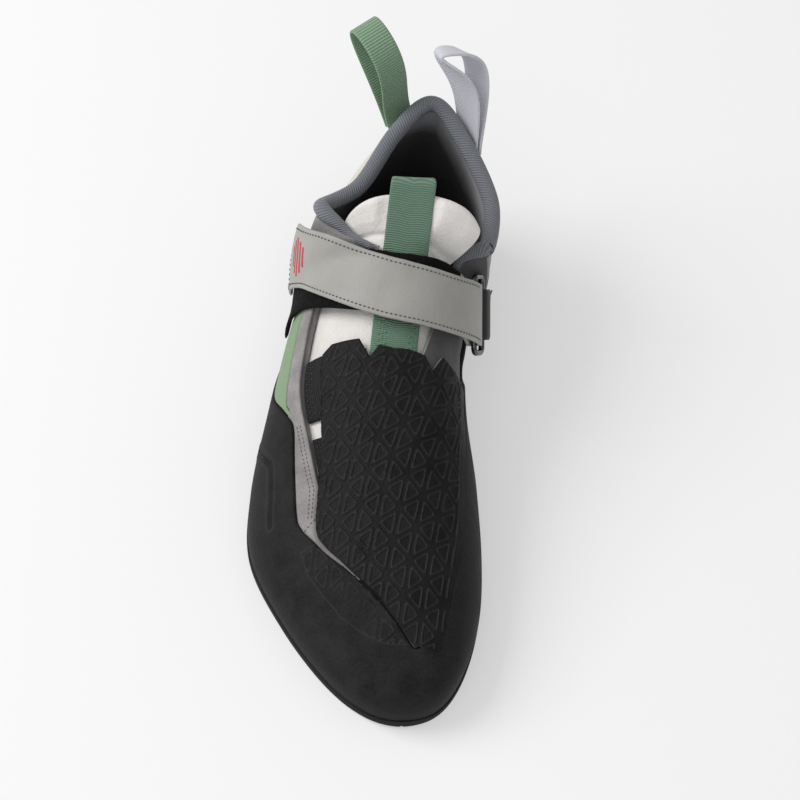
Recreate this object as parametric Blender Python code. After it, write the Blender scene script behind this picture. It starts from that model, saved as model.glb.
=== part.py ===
"""Right climbing shoe with one strap, as separate pieces.

The last is one function, last(turn, rise). Ribs climb from the feather line, where the upper meets
the sole, to the ridge of the forefoot or to the collar. turn walks round the ribs from the toe tip
along the lateral side to the heel and back along the medial side; rise climbs a rib from 0 to 1.
Every piece is a stretch of that skin between two offsets from it. Lengths are in millimetres:
x to the medial side, y from the toe tip to the heel, z up from the floor.
"""

import math

import bmesh
import bpy
import numpy as np

# Driving sizes
LENGTH = 248.0
BALL_WIDTH = 93.0
INSTEP_HEIGHT = 81.0
HEEL_HEIGHT = 84.0
ORIGIN_BEHIND_TOE = 70.0

# Thicknesses and clearances
GAP = 0.3
SOLE_THICKNESS = 4.0
SOLE_LIP = 2.6
SOLE_EDGE_ROUND = 1.2
UPPER_WALL = 2.0
RUBBER = 1.8
OVERLAY = 1.2
INSOLE_THICKNESS = 2.2
INSOLE_INSET = 3.4
TONGUE_THICKNESS = 3.2
WEBBING = 1.3
STRAP_THICKNESS = 1.5
STRAP_WIDTH = 25.0
BINDING_RADIUS = 3.0
RING_WIRE = 2.4

# Sizes that the tables below were drawn at; the driving sizes stretch them
DRAWN_LENGTH, DRAWN_WIDTH, DRAWN_INSTEP, DRAWN_HEEL = 248.0, 93.0, 81.0, 84.0
ALONG = LENGTH / DRAWN_LENGTH
ACROSS = BALL_WIDTH / DRAWN_WIDTH

# Ribs from toe tip to heel back: foot of the rib (x, y), its lower handle (out, up), its top point,
# its upper handle (over, drop), the ridge's slope there and the share of the rib that the upper covers
LATERAL_RIBS = (
    # x, y, out, up, top_x, top_y, top_z, over, drop, lean, edge
    (0.0, 4.0, 3.0, 14.0, 4.4, 22.0, 27.0, 12.0, 0.0, 0.41, 1.00),
    (-12.5, 7.0, 3.0, 14.0, 4.4, 22.0, 27.0, 16.0, 0.0, 0.41, 1.00),
    (-27.5, 20.0, 3.5, 15.0, 4.4, 22.0, 27.0, 20.0, 0.0, 0.41, 1.00),
    (-43.5, 43.0, 4.5, 16.0, -1.0, 46.0, 37.0, 24.0, 0.0, 0.40, 1.00),
    (-56.5, 71.0, 4.5, 19.0, -5.5, 71.0, 45.0, 28.0, 0.0, 0.34, 0.70),
    (-57.5, 98.0, 4.0, 22.0, -8.5, 97.0, 53.5, 28.0, 0.0, 0.33, 0.605),
    (-52.0, 127.0, 5.0, 26.0, -8.3, 125.0, 63.5, 28.0, 0.0, 0.38, 0.49),
    (-46.0, 151.0, 8.0, 29.0, -6.3, 151.0, 73.5, 28.0, 0.0, 0.42, 0.51),
    (-42.0, 164.0, 10.0, 29.0, -5.0, 164.0, 80.0, 27.0, 0.0, 0.48, 0.80),
    (-38.5, 176.0, 11.0, 29.0, -21.0, 171.5, 81.0, 18.0, 0.0, 0.40, 1.00),
    (-34.5, 191.0, 11.0, 28.0, -39.5, 188.0, 75.0, 3.0, 16.0, 0.00, 1.00),
    (-28.0, 213.0, 8.0, 26.0, -24.5, 206.0, 71.0, 9.0, 18.0, 0.00, 1.00),
    (-16.0, 236.0, 9.0, 25.0, -10.5, 227.0, 79.0, 7.0, 20.0, 0.00, 1.00),
    (2.0, 243.0, 9.0, 26.0, 5.0, 238.5, 84.0, 0.0, 22.0, 0.00, 1.00),
)
MEDIAL_RIBS = (
    # x, y, out, up, top_x, top_y, top_z, over, drop, lean, edge
    (12.0, 8.5, 3.0, 15.0, 4.4, 22.0, 27.0, 10.0, 0.0, 0.41, 1.00),
    (21.0, 22.5, 3.0, 18.0, 4.4, 22.0, 27.0, 12.0, 0.0, 0.41, 1.00),
    (27.0, 45.0, 3.0, 20.0, -1.0, 46.0, 37.0, 18.0, 0.0, 0.40, 1.00),
    (28.0, 70.0, 3.0, 24.0, -5.5, 71.0, 45.0, 22.0, 0.0, 0.34, 1.00),
    (26.0, 96.0, 3.0, 30.0, -8.5, 97.0, 53.5, 24.0, 0.0, 0.33, 1.00),
    (21.0, 123.0, 4.0, 34.0, -8.3, 125.0, 63.5, 20.0, 0.0, 0.38, 0.82),
    (19.0, 149.0, 6.0, 36.0, -6.3, 151.0, 73.5, 18.0, 0.0, 0.42, 0.66),
    (20.0, 161.0, 7.0, 34.0, -5.0, 164.0, 80.0, 18.0, 0.0, 0.48, 0.60),
    (21.5, 171.0, 7.0, 32.0, -4.0, 173.0, 86.5, 18.0, 0.0, 0.55, 0.52),
    (24.0, 183.0, 8.0, 27.0, 29.0, 178.0, 67.0, 2.0, 16.0, 0.00, 1.00),
    (28.0, 207.0, 6.5, 24.0, 30.5, 200.0, 71.0, 1.0, 18.0, 0.00, 1.00),
    (20.0, 233.0, 9.0, 25.0, 18.5, 226.0, 79.0, 4.0, 20.0, 0.00, 1.00),
)
HEEL_RIB = len(LATERAL_RIBS) - 1
TURNS = 2 * HEEL_RIB
POLE_RIB = 2.0
CLOSED_TO = 3.0
STRAP_RIB = 8.0
COLLAR_RIB = 10.0

# Sections along each side at which the pieces are worked out, and the one where the rand ends
STATIONS = np.linspace(0.0, HEEL_RIB, 44)
RAND_END = 34

# Underside of the sole
SOLE_PROFILE = (
    # y, height
    (-4.0, 2.2),
    (6.0, 0.4),
    (12.0, 0.0),
    (84.0, 0.0),
    (102.0, 2.4),
    (128.0, 8.5),
    (150.0, 10.5),
    (172.0, 8.0),
    (196.0, 1.4),
    (206.0, 0.0),
    (232.0, 0.0),
    (250.0, 2.6),
)

# Upper edge of the toe rand, by rib: a share of the rib, a place across or a height
RAND_LATERAL = (
    # rib, kind, value
    (0.0, "share", 0.93),
    (1.0, "share", 0.94),
    (2.0, "share", 0.95),
    (3.0, "share", 0.785),
    (3.5, "share", 0.672),
    (3.85, "share", 0.588),
    (4.0, "share", 0.542),
    (4.12, "share", 0.524),
    (4.5, "share", 0.528),
    (4.83, "share", 0.523),
    (5.17, "share", 0.509),
    (5.36, "share", 0.490),
    (5.63, "share", 0.398),
    (6.0, "share", 0.250),
    (6.3, "height", 28.0),
    (7.0, "height", 25.0),
    (10.4, "height", 19.0),
)
RAND_MEDIAL = (
    # rib, kind, value
    (0.0, "share", 0.90),
    (1.0, "share", 0.88),
    (2.0, "share", 0.72),
    (3.0, "across", 16.5),
    (4.0, "across", 20.5),
    (5.0, "across", 20.3),
    (5.6, "across", 20.0),
    (6.2, "height", 40.0),
    (7.0, "height", 27.0),
    (10.4, "height", 19.0),
)

# Lateral edge of the toe patch where it is free, and its back edge with two notches
PATCH_LATERAL = (
    # rib, kind, value
    (2.0, "share", 0.985),
    (2.4, "share", 0.935),
    (2.8, "share", 0.857),
    (3.25, "share", 0.757),
    (3.55, "share", 0.692),
    (3.75, "share", 0.642),
    (3.9, "share", 0.618),
    (4.3, "share", 0.648),
    (4.9, "share", 0.678),
    (5.5, "share", 0.657),
    (6.1, "share", 0.633),
    (7.0, "share", 0.600),
)
PATCH_BACK = (
    # x, y
    (-35.5, 128.0),
    (-34.0, 133.0),
    (-31.0, 136.0),
    (-21.3, 136.0),
    (-17.2, 128.7),
    (-13.9, 133.0),
    (-5.0, 132.0),
    (3.4, 131.0),
    (6.5, 126.0),
    (10.4, 133.3),
    (15.5, 131.5),
    (20.0, 130.0),
)

# Width of the eyestay as a share of a rib, and top of the heel rubber
EYESTAY_SHARE = 0.085
PANEL_LIFT = GAP + 0.2
HEEL_CUP = (
    # rib, height
    (10.2, 19.0),
    (11.0, 30.0),
    (12.0, 48.0),
    (13.0, 56.0),
)

LATERAL, MEDIAL = -1, 1


def ease(x, start, end):
    s = np.clip((np.asarray(x, float) - start) / (end - start), 0.0, 1.0)
    return s * s * (3 - 2 * s)


def slopes(values, spacing, closed):
    """Tangents of a monotone cubic through a column of values."""
    steps = np.diff(values) / spacing
    if closed:
        wrap = (values[:1] - values[-1:]) / spacing[-1]
        before, after = np.concatenate([wrap, steps]), np.concatenate([steps, wrap])
    else:
        before = np.concatenate([steps[:1], steps])
        after = np.concatenate([steps, steps[-1:]])
    same = before * after > 0
    return np.where(same, 2 * before * after / np.where(same, before + after, 1.0), 0.0)


def hermite(start, end, start_slope, end_slope, span, s):
    share = s * s * (3 - 2 * s)
    bend = start_slope * s * (1 - s) ** 2 - end_slope * s * s * (1 - s)
    return start * (1 - share) + end * share + span * bend


def through(xs, ys, x):
    """Value at x of the monotone cubic through (xs, ys); flat stretches stay flat."""
    xs, ys = np.asarray(xs, float), np.asarray(ys, float)
    span = np.diff(xs)
    tangents = slopes(ys, span, False)
    x = np.clip(np.asarray(x, float), xs[0], xs[-1])
    i = np.clip(np.searchsorted(xs, x, side="right") - 1, 0, len(span) - 1)
    return hermite(ys[i], ys[i + 1], tangents[i], tangents[i + 1], span[i], (x - xs[i]) / span[i])


def sole_height(y):
    return through([row[0] * ALONG for row in SOLE_PROFILE], [row[1] for row in SOLE_PROFILE], y)


def stretched(rib):
    """A rib's row at the driving sizes."""
    x, y, out, up, top_x, top_y, top_z, over, drop, lean, edge = rib
    share = min(max((y / DRAWN_LENGTH - 0.5) * 3.0, 0.0), 1.0)
    tall = (1 - share) * INSTEP_HEIGHT / DRAWN_INSTEP + share * HEEL_HEIGHT / DRAWN_HEEL
    return (
        x * ACROSS,
        y * ALONG,
        out,
        up * tall,
        top_x * ACROSS,
        top_y * ALONG,
        top_z * tall,
        over * ACROSS,
        drop * tall,
        lean * tall / ALONG,
        edge,
    )


LOOP = np.array([stretched(rib) for rib in LATERAL_RIBS + MEDIAL_RIBS[::-1]])
SMOOTH_TANGENTS = (np.roll(LOOP, -1, axis=0) - np.roll(LOOP, 1, axis=0)) / 2
EVEN = np.ones(TURNS)
TIGHT_TANGENTS = np.stack(
    [slopes(LOOP[:, c], EVEN[:-1], True) for c in range(LOOP.shape[1])], axis=1
)
TIGHT_COLUMNS = (4, 5, 6, 7, 8, 9, 10)
FRONT_ROWS = [row for row in range(TURNS) if min(row, TURNS - row) <= COLLAR_RIB]
for index in TIGHT_COLUMNS:
    SMOOTH_TANGENTS[FRONT_ROWS, index] = TIGHT_TANGENTS[FRONT_ROWS, index]


def rib_at(turn):
    """The table's columns at any turn round the shoe."""
    turn = np.mod(np.asarray(turn, float), TURNS)
    i = np.floor(turn).astype(int) % TURNS
    after = (i + 1) % TURNS
    s = (turn - np.floor(turn))[..., None]
    return hermite(LOOP[i], LOOP[after], SMOOTH_TANGENTS[i], SMOOTH_TANGENTS[after], 1.0, s)


def plan_normal(turn):
    """Outward direction of the feather line in plan."""
    ahead, behind = rib_at(np.asarray(turn) + 0.02), rib_at(np.asarray(turn) - 0.02)
    along = ahead[..., :2] - behind[..., :2]
    along /= np.linalg.norm(along, axis=-1, keepdims=True)
    return np.stack([-along[..., 1], along[..., 0]], axis=-1)


def edge_share(turn):
    return np.clip(rib_at(turn)[..., 10], 0.0, 1.0)


def last(turn, rise):
    """Point on the outside of the upper."""
    turn, rise = np.broadcast_arrays(np.asarray(turn, float), np.asarray(rise, float))
    rib, normal = rib_at(turn), plan_normal(turn)
    foot_z = sole_height(rib[..., 1]) + SOLE_THICKNESS + GAP
    foot = np.stack([rib[..., 0], rib[..., 1], foot_z], axis=-1)
    out, up, over, drop, lean = rib[..., 2], rib[..., 3], rib[..., 7], rib[..., 8], rib[..., 9]
    low = foot + np.stack([normal[..., 0] * out, normal[..., 1] * out, up], axis=-1)
    top = rib[..., 4:7]
    fall = lean * normal[..., 1] * over - drop
    high = top + np.stack([normal[..., 0] * over, normal[..., 1] * over, fall], axis=-1)
    w = rise[..., None]
    return (
        foot * (1 - w) ** 3
        + low * 3 * (1 - w) ** 2 * w
        + high * 3 * (1 - w) * w**2
        + top * w**3
    )


def rib_number(turn):
    turn = np.mod(np.asarray(turn, float), TURNS)
    return np.minimum(turn, TURNS - turn)


def outward(turn, rise):
    """Unit normal of the last; along the ridge both sides share one."""
    turn, rise = np.broadcast_arrays(np.asarray(turn, float), np.asarray(rise, float))
    lower = np.minimum(rise, 0.97)
    along = last(turn + 0.01, lower) - last(turn - 0.01, lower)
    climb = last(turn, np.minimum(rise + 0.002, 1.0)) - last(turn, np.maximum(rise - 0.002, 0.0))
    normal = np.cross(climb, along)
    normal /= np.linalg.norm(normal, axis=-1, keepdims=True)
    number = np.clip(rib_number(turn), POLE_RIB + 0.02, STRAP_RIB - 0.02)
    ridge = rib_at(number + 0.02)[..., 4:7] - rib_at(number - 0.02)[..., 4:7]
    crest = np.stack([np.zeros_like(rise), -ridge[..., 2], ridge[..., 1]], axis=-1)
    crest /= np.linalg.norm(crest, axis=-1, keepdims=True)
    blend = np.clip((rise - 0.94) / 0.06, 0.0, 1.0) * np.clip(STRAP_RIB + 0.3 - rib_number(turn), 0, 1)
    mixed = normal * (1 - blend[..., None]) + crest * blend[..., None]
    return mixed / np.linalg.norm(mixed, axis=-1, keepdims=True)


def skin(turn, rise, offset):
    offset = np.asarray(offset, float)
    return last(turn, rise) + outward(turn, rise) * offset[..., None]


def turn_of(side, rib):
    rib = np.asarray(rib, float)
    return rib if side == LATERAL else TURNS - rib


def crossing(rib, s):
    """Address of a place across the forefoot: s is -1 at the lateral foot, 0 on the ridge, 1 medial."""
    rib, s = np.broadcast_arrays(np.asarray(rib, float), np.asarray(s, float))
    return np.where(s < 0, rib, TURNS - rib), 1 - np.abs(s)


RISES = np.linspace(0.0, 1.0, 301)


def share_at(side, rib, kind, value):
    """Share of a rib at a given place across, or height."""
    if kind == "share":
        return value
    points = last(np.full(RISES.shape, turn_of(side, rib)), RISES)
    if kind == "height":
        return float(np.interp(value, np.maximum.accumulate(points[:, 2]), RISES))
    reach = points[:, 0] * side
    widest = int(np.argmax(reach))
    return float(np.interp(-value * ACROSS * side, -reach[widest:], RISES[widest:]))


def border(side, table):
    """A border along one side of the shoe: share of the rib as a function of the rib."""
    ribs = [row[0] for row in table]
    shares = [share_at(side, *row) for row in table]
    return lambda rib: through(ribs, shares, rib)


def at_plan(x, y):
    """Rib and place across under a point of the top side in plan."""
    x, y = x * ACROSS, y * ALONG
    grid = np.linspace(-1.0, 1.0, 401)
    rib = 6.0
    for _ in range(8):
        points = last(*crossing(np.full(grid.shape, rib), grid))
        first, end = int(np.argmin(points[:, 0])), int(np.argmax(points[:, 0]))
        s = float(np.interp(x, points[first : end + 1, 0], grid[first : end + 1]))
        here = last(*crossing(rib, s))[1]
        step = last(*crossing(rib + 0.05, s))[1] - here
        rib = min(max(rib + (y - here) / step * 0.05, POLE_RIB), STRAP_RIB)
    return rib, s


# Solids


def place(points):
    """From the tables' millimetres to the part's metres."""
    moved = np.asarray(points, float).reshape(-1, 3) - (0.0, ORIGIN_BEHIND_TOE, 0.0)
    return [tuple(p) for p in moved * 0.001]


def add_object(name, points, faces, colour, roughness=0.6, merge=0.00001):
    mesh = bpy.data.meshes.new(name)
    mesh.from_pydata(place(points), [], faces)
    body = bmesh.new()
    body.from_mesh(mesh)
    bmesh.ops.remove_doubles(body, verts=body.verts, dist=merge)
    bmesh.ops.dissolve_degenerate(body, edges=body.edges, dist=0.000002)
    bmesh.ops.recalc_face_normals(body, faces=body.faces)
    body.to_mesh(mesh)
    body.free()
    mesh.shade_smooth()
    mesh.set_sharp_from_angle(angle=math.radians(40))
    obj = bpy.data.objects.new(name, mesh)
    bpy.context.scene.collection.objects.link(obj)
    material = bpy.data.materials.new(name)
    material.use_nodes = True
    shader = material.node_tree.nodes["Principled BSDF"]
    shader.inputs["Base Color"].default_value = (*colour, 1.0)
    shader.inputs["Roughness"].default_value = roughness
    mesh.materials.append(material)
    return obj


def halves(a, b, c, d):
    """Two triangles of a four-sided facet, cut the same way on every layer."""
    return [[a, b, c], [a, c, d]]


def shell(name, outer, inner, colour, closed=False, roughness=0.6):
    """Closed solid between two grids of points; closed joins the last row to the first."""
    rows, cols = outer.shape[:2]
    count = rows * cols

    def vertex(i, j, layer):
        return layer * count + (i % rows) * cols + j

    faces = []
    for i in range(rows if closed else rows - 1):
        for j in range(cols - 1):
            quad = [(i, j), (i + 1, j), (i + 1, j + 1), (i, j + 1)]
            faces.extend(halves(*[vertex(a, b, 0) for a, b in quad]))
            faces.extend(halves(*[vertex(a, b, 1) for a, b in quad]))
        for j in (0, cols - 1):
            ends = [(i, j, 0), (i + 1, j, 0), (i + 1, j, 1), (i, j, 1)]
            faces.append([vertex(*end) for end in ends])
    if not closed:
        for i in (0, rows - 1):
            for j in range(cols - 1):
                ends = [(i, j, 0), (i, j + 1, 0), (i, j + 1, 1), (i, j, 1)]
                faces.append([vertex(*end) for end in ends])
    points = np.concatenate([outer.reshape(-1, 3), inner.reshape(-1, 3)])
    return add_object(name, points, faces, colour, roughness)


def plate(name, turn, rise, low, high, colour, closed=False, roughness=0.6):
    """A stretch of the skin between two offsets."""
    low = np.broadcast_to(np.asarray(low, float), turn.shape)
    high = np.broadcast_to(np.asarray(high, float), turn.shape)
    outer, inner = skin(turn, rise, high), skin(turn, rise, low)
    for grid in (outer, inner):
        grid[..., 2] = np.maximum(grid[..., 2], sole_height(grid[..., 1]) + SOLE_THICKNESS + GAP)
    return shell(name, outer, inner, colour, closed, roughness)


def sheet(name, middle, thickness, colour, roughness=0.6):
    """A strip of even thickness about a grid of middle points."""
    along = np.gradient(middle, axis=0)
    across = np.gradient(middle, axis=1)
    normal = np.cross(along, across)
    normal /= np.linalg.norm(normal, axis=-1, keepdims=True)
    half = normal * thickness / 2
    return shell(name, middle + half, middle - half, colour, False, roughness)


def tube(name, centres, radius, colour, closed, sides=8, flat=1.0, roughness=0.6):
    """A round bar along a path; closed makes it a ring."""
    count = len(centres)
    if closed:
        along = np.roll(centres, -1, axis=0) - np.roll(centres, 1, axis=0)
    else:
        along = np.gradient(centres, axis=0)
    along /= np.linalg.norm(along, axis=1, keepdims=True)
    up = np.array([0.0, 0.0, 1.0])
    side = np.cross(along, up)
    side /= np.linalg.norm(side, axis=1, keepdims=True)
    lift = np.cross(side, along)
    angles = np.linspace(0, 2 * math.pi, sides, endpoint=False)
    rings = np.stack(
        [centres + radius * (flat * math.cos(a) * side + math.sin(a) * lift) for a in angles], axis=1
    )
    faces = []
    for i in range(count if closed else count - 1):
        for j in range(sides):
            quad = [(i, j), (i + 1, j), (i + 1, j + 1), (i, j + 1)]
            faces.append([(a % count) * sides + b % sides for a, b in quad])
    if not closed:
        faces.append(list(range(sides)))
        faces.append([(count - 1) * sides + j for j in range(sides)])
    return add_object(name, rings, faces, colour, roughness)


BLACK, DARK = (0.020, 0.020, 0.021), (0.016, 0.016, 0.017)
GREY, GREEN, PALE = (0.33, 0.31, 0.30), (0.30, 0.45, 0.26), (0.74, 0.70, 0.68)
WHITE = (0.66, 0.66, 0.74)


def around(stations):
    """Turns at the stations of both sides, all the way round."""
    return np.concatenate([stations, TURNS - stations[-2:0:-1]])


def rubber_share(turn):
    """Top of the rubber round the whole shoe: rand, then heel cup."""
    return np.where(rib_number(turn) > STATIONS[RAND_END] + 0.01, heel_share(turn), rand_share(turn))


def make_upper(low_climbs=4, high_climbs=5):
    """The hollow wall: both sides are joined along the ridge in front of the slit."""
    turns = around(STATIONS)
    climbs = low_climbs + high_climbs + 1
    tops = np.where(rib_number(turns) <= CLOSED_TO + 0.05, 1.0, edge_share(turns))
    joins = np.minimum(rubber_share(turns), 0.94 * tops)
    low = np.append(np.linspace(0.0, 1.0, low_climbs + 1), np.ones(high_climbs))
    high = np.append(np.zeros(low_climbs), np.linspace(0.0, 1.0, high_climbs + 1))
    rise = joins[:, None] * low + (tops - joins)[:, None] * high
    turn = np.broadcast_to(turns[:, None], rise.shape)
    outer = skin(turn, rise, np.zeros(rise.shape))
    inner = skin(turn, rise, np.full(rise.shape, -UPPER_WALL))
    rows = len(turns)
    count = rows * climbs
    faces = []
    for i in range(rows):
        j = (i + 1) % rows
        for c in range(climbs - 1):
            quad = [(i, c), (j, c), (j, c + 1), (i, c + 1)]
            faces.extend(halves(*[a * climbs + b for a, b in quad]))
            faces.extend(halves(*[count + a * climbs + b for a, b in quad]))
        faces.append([i * climbs, j * climbs, count + j * climbs, count + i * climbs])
        if max(rib_number(turns[i]), rib_number(turns[j])) > CLOSED_TO + 0.05:
            a, b = i * climbs + climbs - 1, j * climbs + climbs - 1
            faces.append([a, b, count + b, count + a])
    points = np.concatenate([outer.reshape(-1, 3), inner.reshape(-1, 3)])
    return add_object("upper", points, faces, GREY)


def ladder(name, ribs, inset, bottom, top, edge_round, colour):
    """A plate under the foot: rungs run from the lateral to the medial side."""

    def outline(extra):
        turns = np.concatenate([ribs, TURNS - ribs[-2:0:-1]])
        return rib_at(turns)[:, :2] - plan_normal(turns) * (inset + extra)

    full, small = outline(0.0), outline(edge_round)
    count = len(full)
    last_rung = len(ribs) - 1

    def raised(plan, height):
        return np.column_stack([plan, height(plan[:, 1])])

    def middles(plan, height):
        lateral, medial = plan[1:last_rung], plan[:last_rung:-1]
        return raised((lateral + medial) / 2, height)

    loops = [
        raised(small, bottom),
        raised(full, lambda y: bottom(y) + edge_round),
        raised(full, top),
    ]
    mids = [middles(small, bottom), middles(full, top)]
    points = np.concatenate(loops + mids)
    faces = []
    for a, b in ((0, 1), (1, 2)):
        for i in range(count):
            j = (i + 1) % count
            faces.append([a * count + i, a * count + j, b * count + j, b * count + i])
    for layer, base in ((0, 3 * count), (2, 3 * count + last_rung - 1)):
        start = layer * count
        for r in range(1, last_rung):
            lateral, medial, mid = start + r, start + count - r, base + r - 1
            if r == 1:
                faces.append([start, lateral, mid])
                faces.append([start, mid, medial])
            if r < last_rung - 1:
                faces.append([lateral, lateral + 1, mid + 1, mid])
                faces.append([mid, mid + 1, medial - 1, medial])
            else:
                faces.append([lateral, start + last_rung, mid])
                faces.append([mid, start + last_rung, medial])
    return add_object(name, points, faces, colour)


def make_bottom():
    ladder(
        "outsole",
        STATIONS,
        -SOLE_LIP,
        sole_height,
        lambda y: sole_height(y) + SOLE_THICKNESS,
        SOLE_EDGE_ROUND,
        DARK,
    )
    floor = SOLE_THICKNESS + GAP
    ladder(
        "insole",
        np.linspace(0.0, HEEL_RIB, 23),
        INSOLE_INSET,
        lambda y: sole_height(y) + floor,
        lambda y: sole_height(y) + floor + INSOLE_THICKNESS,
        0.5,
        (0.05, 0.05, 0.05),
    )


RAND_L = border(LATERAL, RAND_LATERAL)
RAND_M = border(MEDIAL, RAND_MEDIAL)
PATCH_L = border(LATERAL, PATCH_LATERAL)
SEAM = 0.012


def rand_share(turn):
    lateral = np.mod(turn, TURNS) <= HEEL_RIB
    return np.where(lateral, RAND_L(rib_number(turn)), RAND_M(rib_number(turn)))


def make_rand(climbs=5):
    ribs = STATIONS[: RAND_END + 1]
    turns = np.concatenate([-ribs[:0:-1], ribs])
    rise = rand_share(turns)[:, None] * np.linspace(0.0, 1.0, climbs)[None, :]
    turn = np.broadcast_to(turns[:, None], rise.shape)
    plate("toe_rand", turn, rise, GAP, GAP + RUBBER, BLACK)


def patch_sides(rib):
    """Places across at the patch's free lateral edge and at its seam on the rand."""
    seam = SEAM * (4 - 3 * ease(rib, POLE_RIB, POLE_RIB + 1.0))
    return PATCH_L(rib) - 1, 1 - RAND_M(rib) - seam


def patch_grid(columns, rows):
    """Addresses over the toe patch: columns of the back edge by rows from its front tip."""
    ribs_back, across = [], []
    for x, y in PATCH_BACK:
        rib, s = at_plan(x, y)
        left, right = patch_sides(rib)
        ribs_back.append(rib)
        across.append((s - left) / (right - left))
    across[0], across[-1] = 0.0, 1.0
    share = np.unique(np.concatenate([across, np.linspace(0.0, 1.0, columns)]))
    back = np.interp(share, across, ribs_back)
    rib = POLE_RIB + (back[:, None] - POLE_RIB) * np.linspace(0.0, 1.0, rows)[None, :]
    left, right = patch_sides(rib)
    s = left + (right - left) * share[:, None]
    return rib, s


def make_patch():
    rib, s = patch_grid(14, 14)
    turn, rise = crossing(rib, s)
    plate("toe_patch", turn, rise, GAP + 0.1, GAP + RUBBER, DARK)


def heel_share(turn):
    rib = rib_number(turn)
    heights = through([row[0] for row in HEEL_CUP], [row[1] for row in HEEL_CUP], rib)
    lateral = np.mod(turn, TURNS) <= HEEL_RIB
    sides = np.where(lateral, LATERAL, MEDIAL)
    found = [share_at(s, r, "height", h) for s, r, h in zip(sides, rib, heights)]
    return np.array(found)


def make_heel_cup():
    start = STATIONS[RAND_END] + 0.02
    ribs = np.append(start, STATIONS[RAND_END + 1 :])
    turns = np.concatenate([ribs, TURNS - ribs[-2::-1]])
    rise = heel_share(turns)[:, None] * np.linspace(0.0, 1.0, 5)[None, :]
    turn = np.broadcast_to(turns[:, None], rise.shape)
    plate("heel_cup", turn, rise, GAP, GAP + RUBBER, BLACK)


def between(ribs, low, high, climbs):
    rise = low[:, None] + (high - low)[:, None] * np.linspace(0.0, 1.0, climbs)[None, :]
    return np.broadcast_to(np.asarray(ribs, float)[:, None], rise.shape), rise


def eyestay_outer(rib):
    beside_rand = RAND_L(rib) + SEAM * (3 - 2 * ease(rib, 4.2, 4.8) + 3 * ease(rib, 5.3, 5.7))
    return np.maximum(beside_rand, edge_share(rib) - EYESTAY_SHARE)


def make_overlays():
    ribs = STATIONS[14:25]
    top = np.minimum(edge_share(ribs) - 0.004, PATCH_L(ribs) - 2 * SEAM)
    turn, rise = between(ribs, eyestay_outer(ribs), top, 5)
    plate("eyestay", turn, rise, GAP, GAP + OVERLAY, GREY)
    ribs = STATIONS[19:38]
    low = rubber_share(ribs) + SEAM
    collar = ease(ribs, 7.4, 9.6)
    below_roll = 0.07 + 0.42 * (1 - ease(ribs, 10.0, 11.2))
    top = (1 - collar) * (eyestay_outer(ribs) - SEAM) + collar * (edge_share(ribs) - below_roll)
    turn, rise = between(ribs, low, np.maximum(top, low + 2 * SEAM), 7)
    plate("side_panel", turn, rise, PANEL_LIFT, PANEL_LIFT + OVERLAY, GREEN)
    ribs = np.append(STATIONS[37] + 0.03, STATIONS[38:43])
    turn, rise = between(ribs, heel_share(ribs) + SEAM, edge_share(ribs) - 0.06, 4)
    plate("heel_trim", turn, rise, PANEL_LIFT, PANEL_LIFT + OVERLAY, (0.70, 0.68, 0.62))


def rim(turn, offset, lift):
    """Points along the upper's top edge, moved out and on up the wall, square to the edge."""
    top = edge_share(turn)
    ahead, behind = turn + 0.02, turn - 0.02
    along = last(ahead, edge_share(ahead)) - last(behind, edge_share(behind))
    along /= np.linalg.norm(along, axis=-1, keepdims=True)
    climb = last(turn, top) - last(turn, top - 0.02)
    climb -= along * np.sum(along * climb, axis=-1, keepdims=True)
    climb /= np.linalg.norm(climb, axis=-1, keepdims=True)
    return skin(turn, top, np.full(np.shape(turn), offset)) + climb * np.asarray(lift)[..., None]


def make_binding():
    turns = np.linspace(9.45, TURNS - 9.75, 40)
    lift = BINDING_RADIUS + GAP + 0.1 + 1.8 * (1 - ease(rib_number(turns), 9.8, 10.6))
    centres = rim(turns, -UPPER_WALL / 2, lift)
    tube("collar_binding", centres, BINDING_RADIUS, (0.20, 0.21, 0.24), False, 8)


# The tongue: how far it reaches to each side, by rib, and its free end beyond the strap
TONGUE = (
    # rib, lateral x, medial x
    (3.3, -20.0, 4.0),
    (4.0, -44.0, 12.0),
    (6.0, -47.0, 16.0),
    (7.0, -44.0, 17.0),
    (8.0, -34.0, 14.0),
)
TONGUE_DEPTH = UPPER_WALL + 0.9
TONGUE_FREE_ROWS = 6
TONGUE_FREE = 19.5
TONGUE_WING = 10.0
WING_LIFT = 0.5
TONGUE_CURL = 0.0225
TAB_FREE = 21.5
TAB_HALF_WIDTH = 9.5


def tongue_reach(rib):
    ribs = [row[0] for row in TONGUE]
    lateral = [-(1 - share_at(LATERAL, row[0], "across", row[1])) for row in TONGUE]
    medial = [1 - share_at(MEDIAL, row[0], "across", row[2]) for row in TONGUE]
    return through(ribs, lateral, rib), through(ribs, medial, rib)


def beyond_strap(points, forward):
    """Carries the tongue's section at the strap on up the shin by a distance forward."""
    forward = np.asarray(forward, float)
    slope = rib_at(STRAP_RIB)[9]
    up = slope * forward + TONGUE_CURL * forward**2
    return points + np.stack([forward * 0.08, forward, up], axis=-1)


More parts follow.
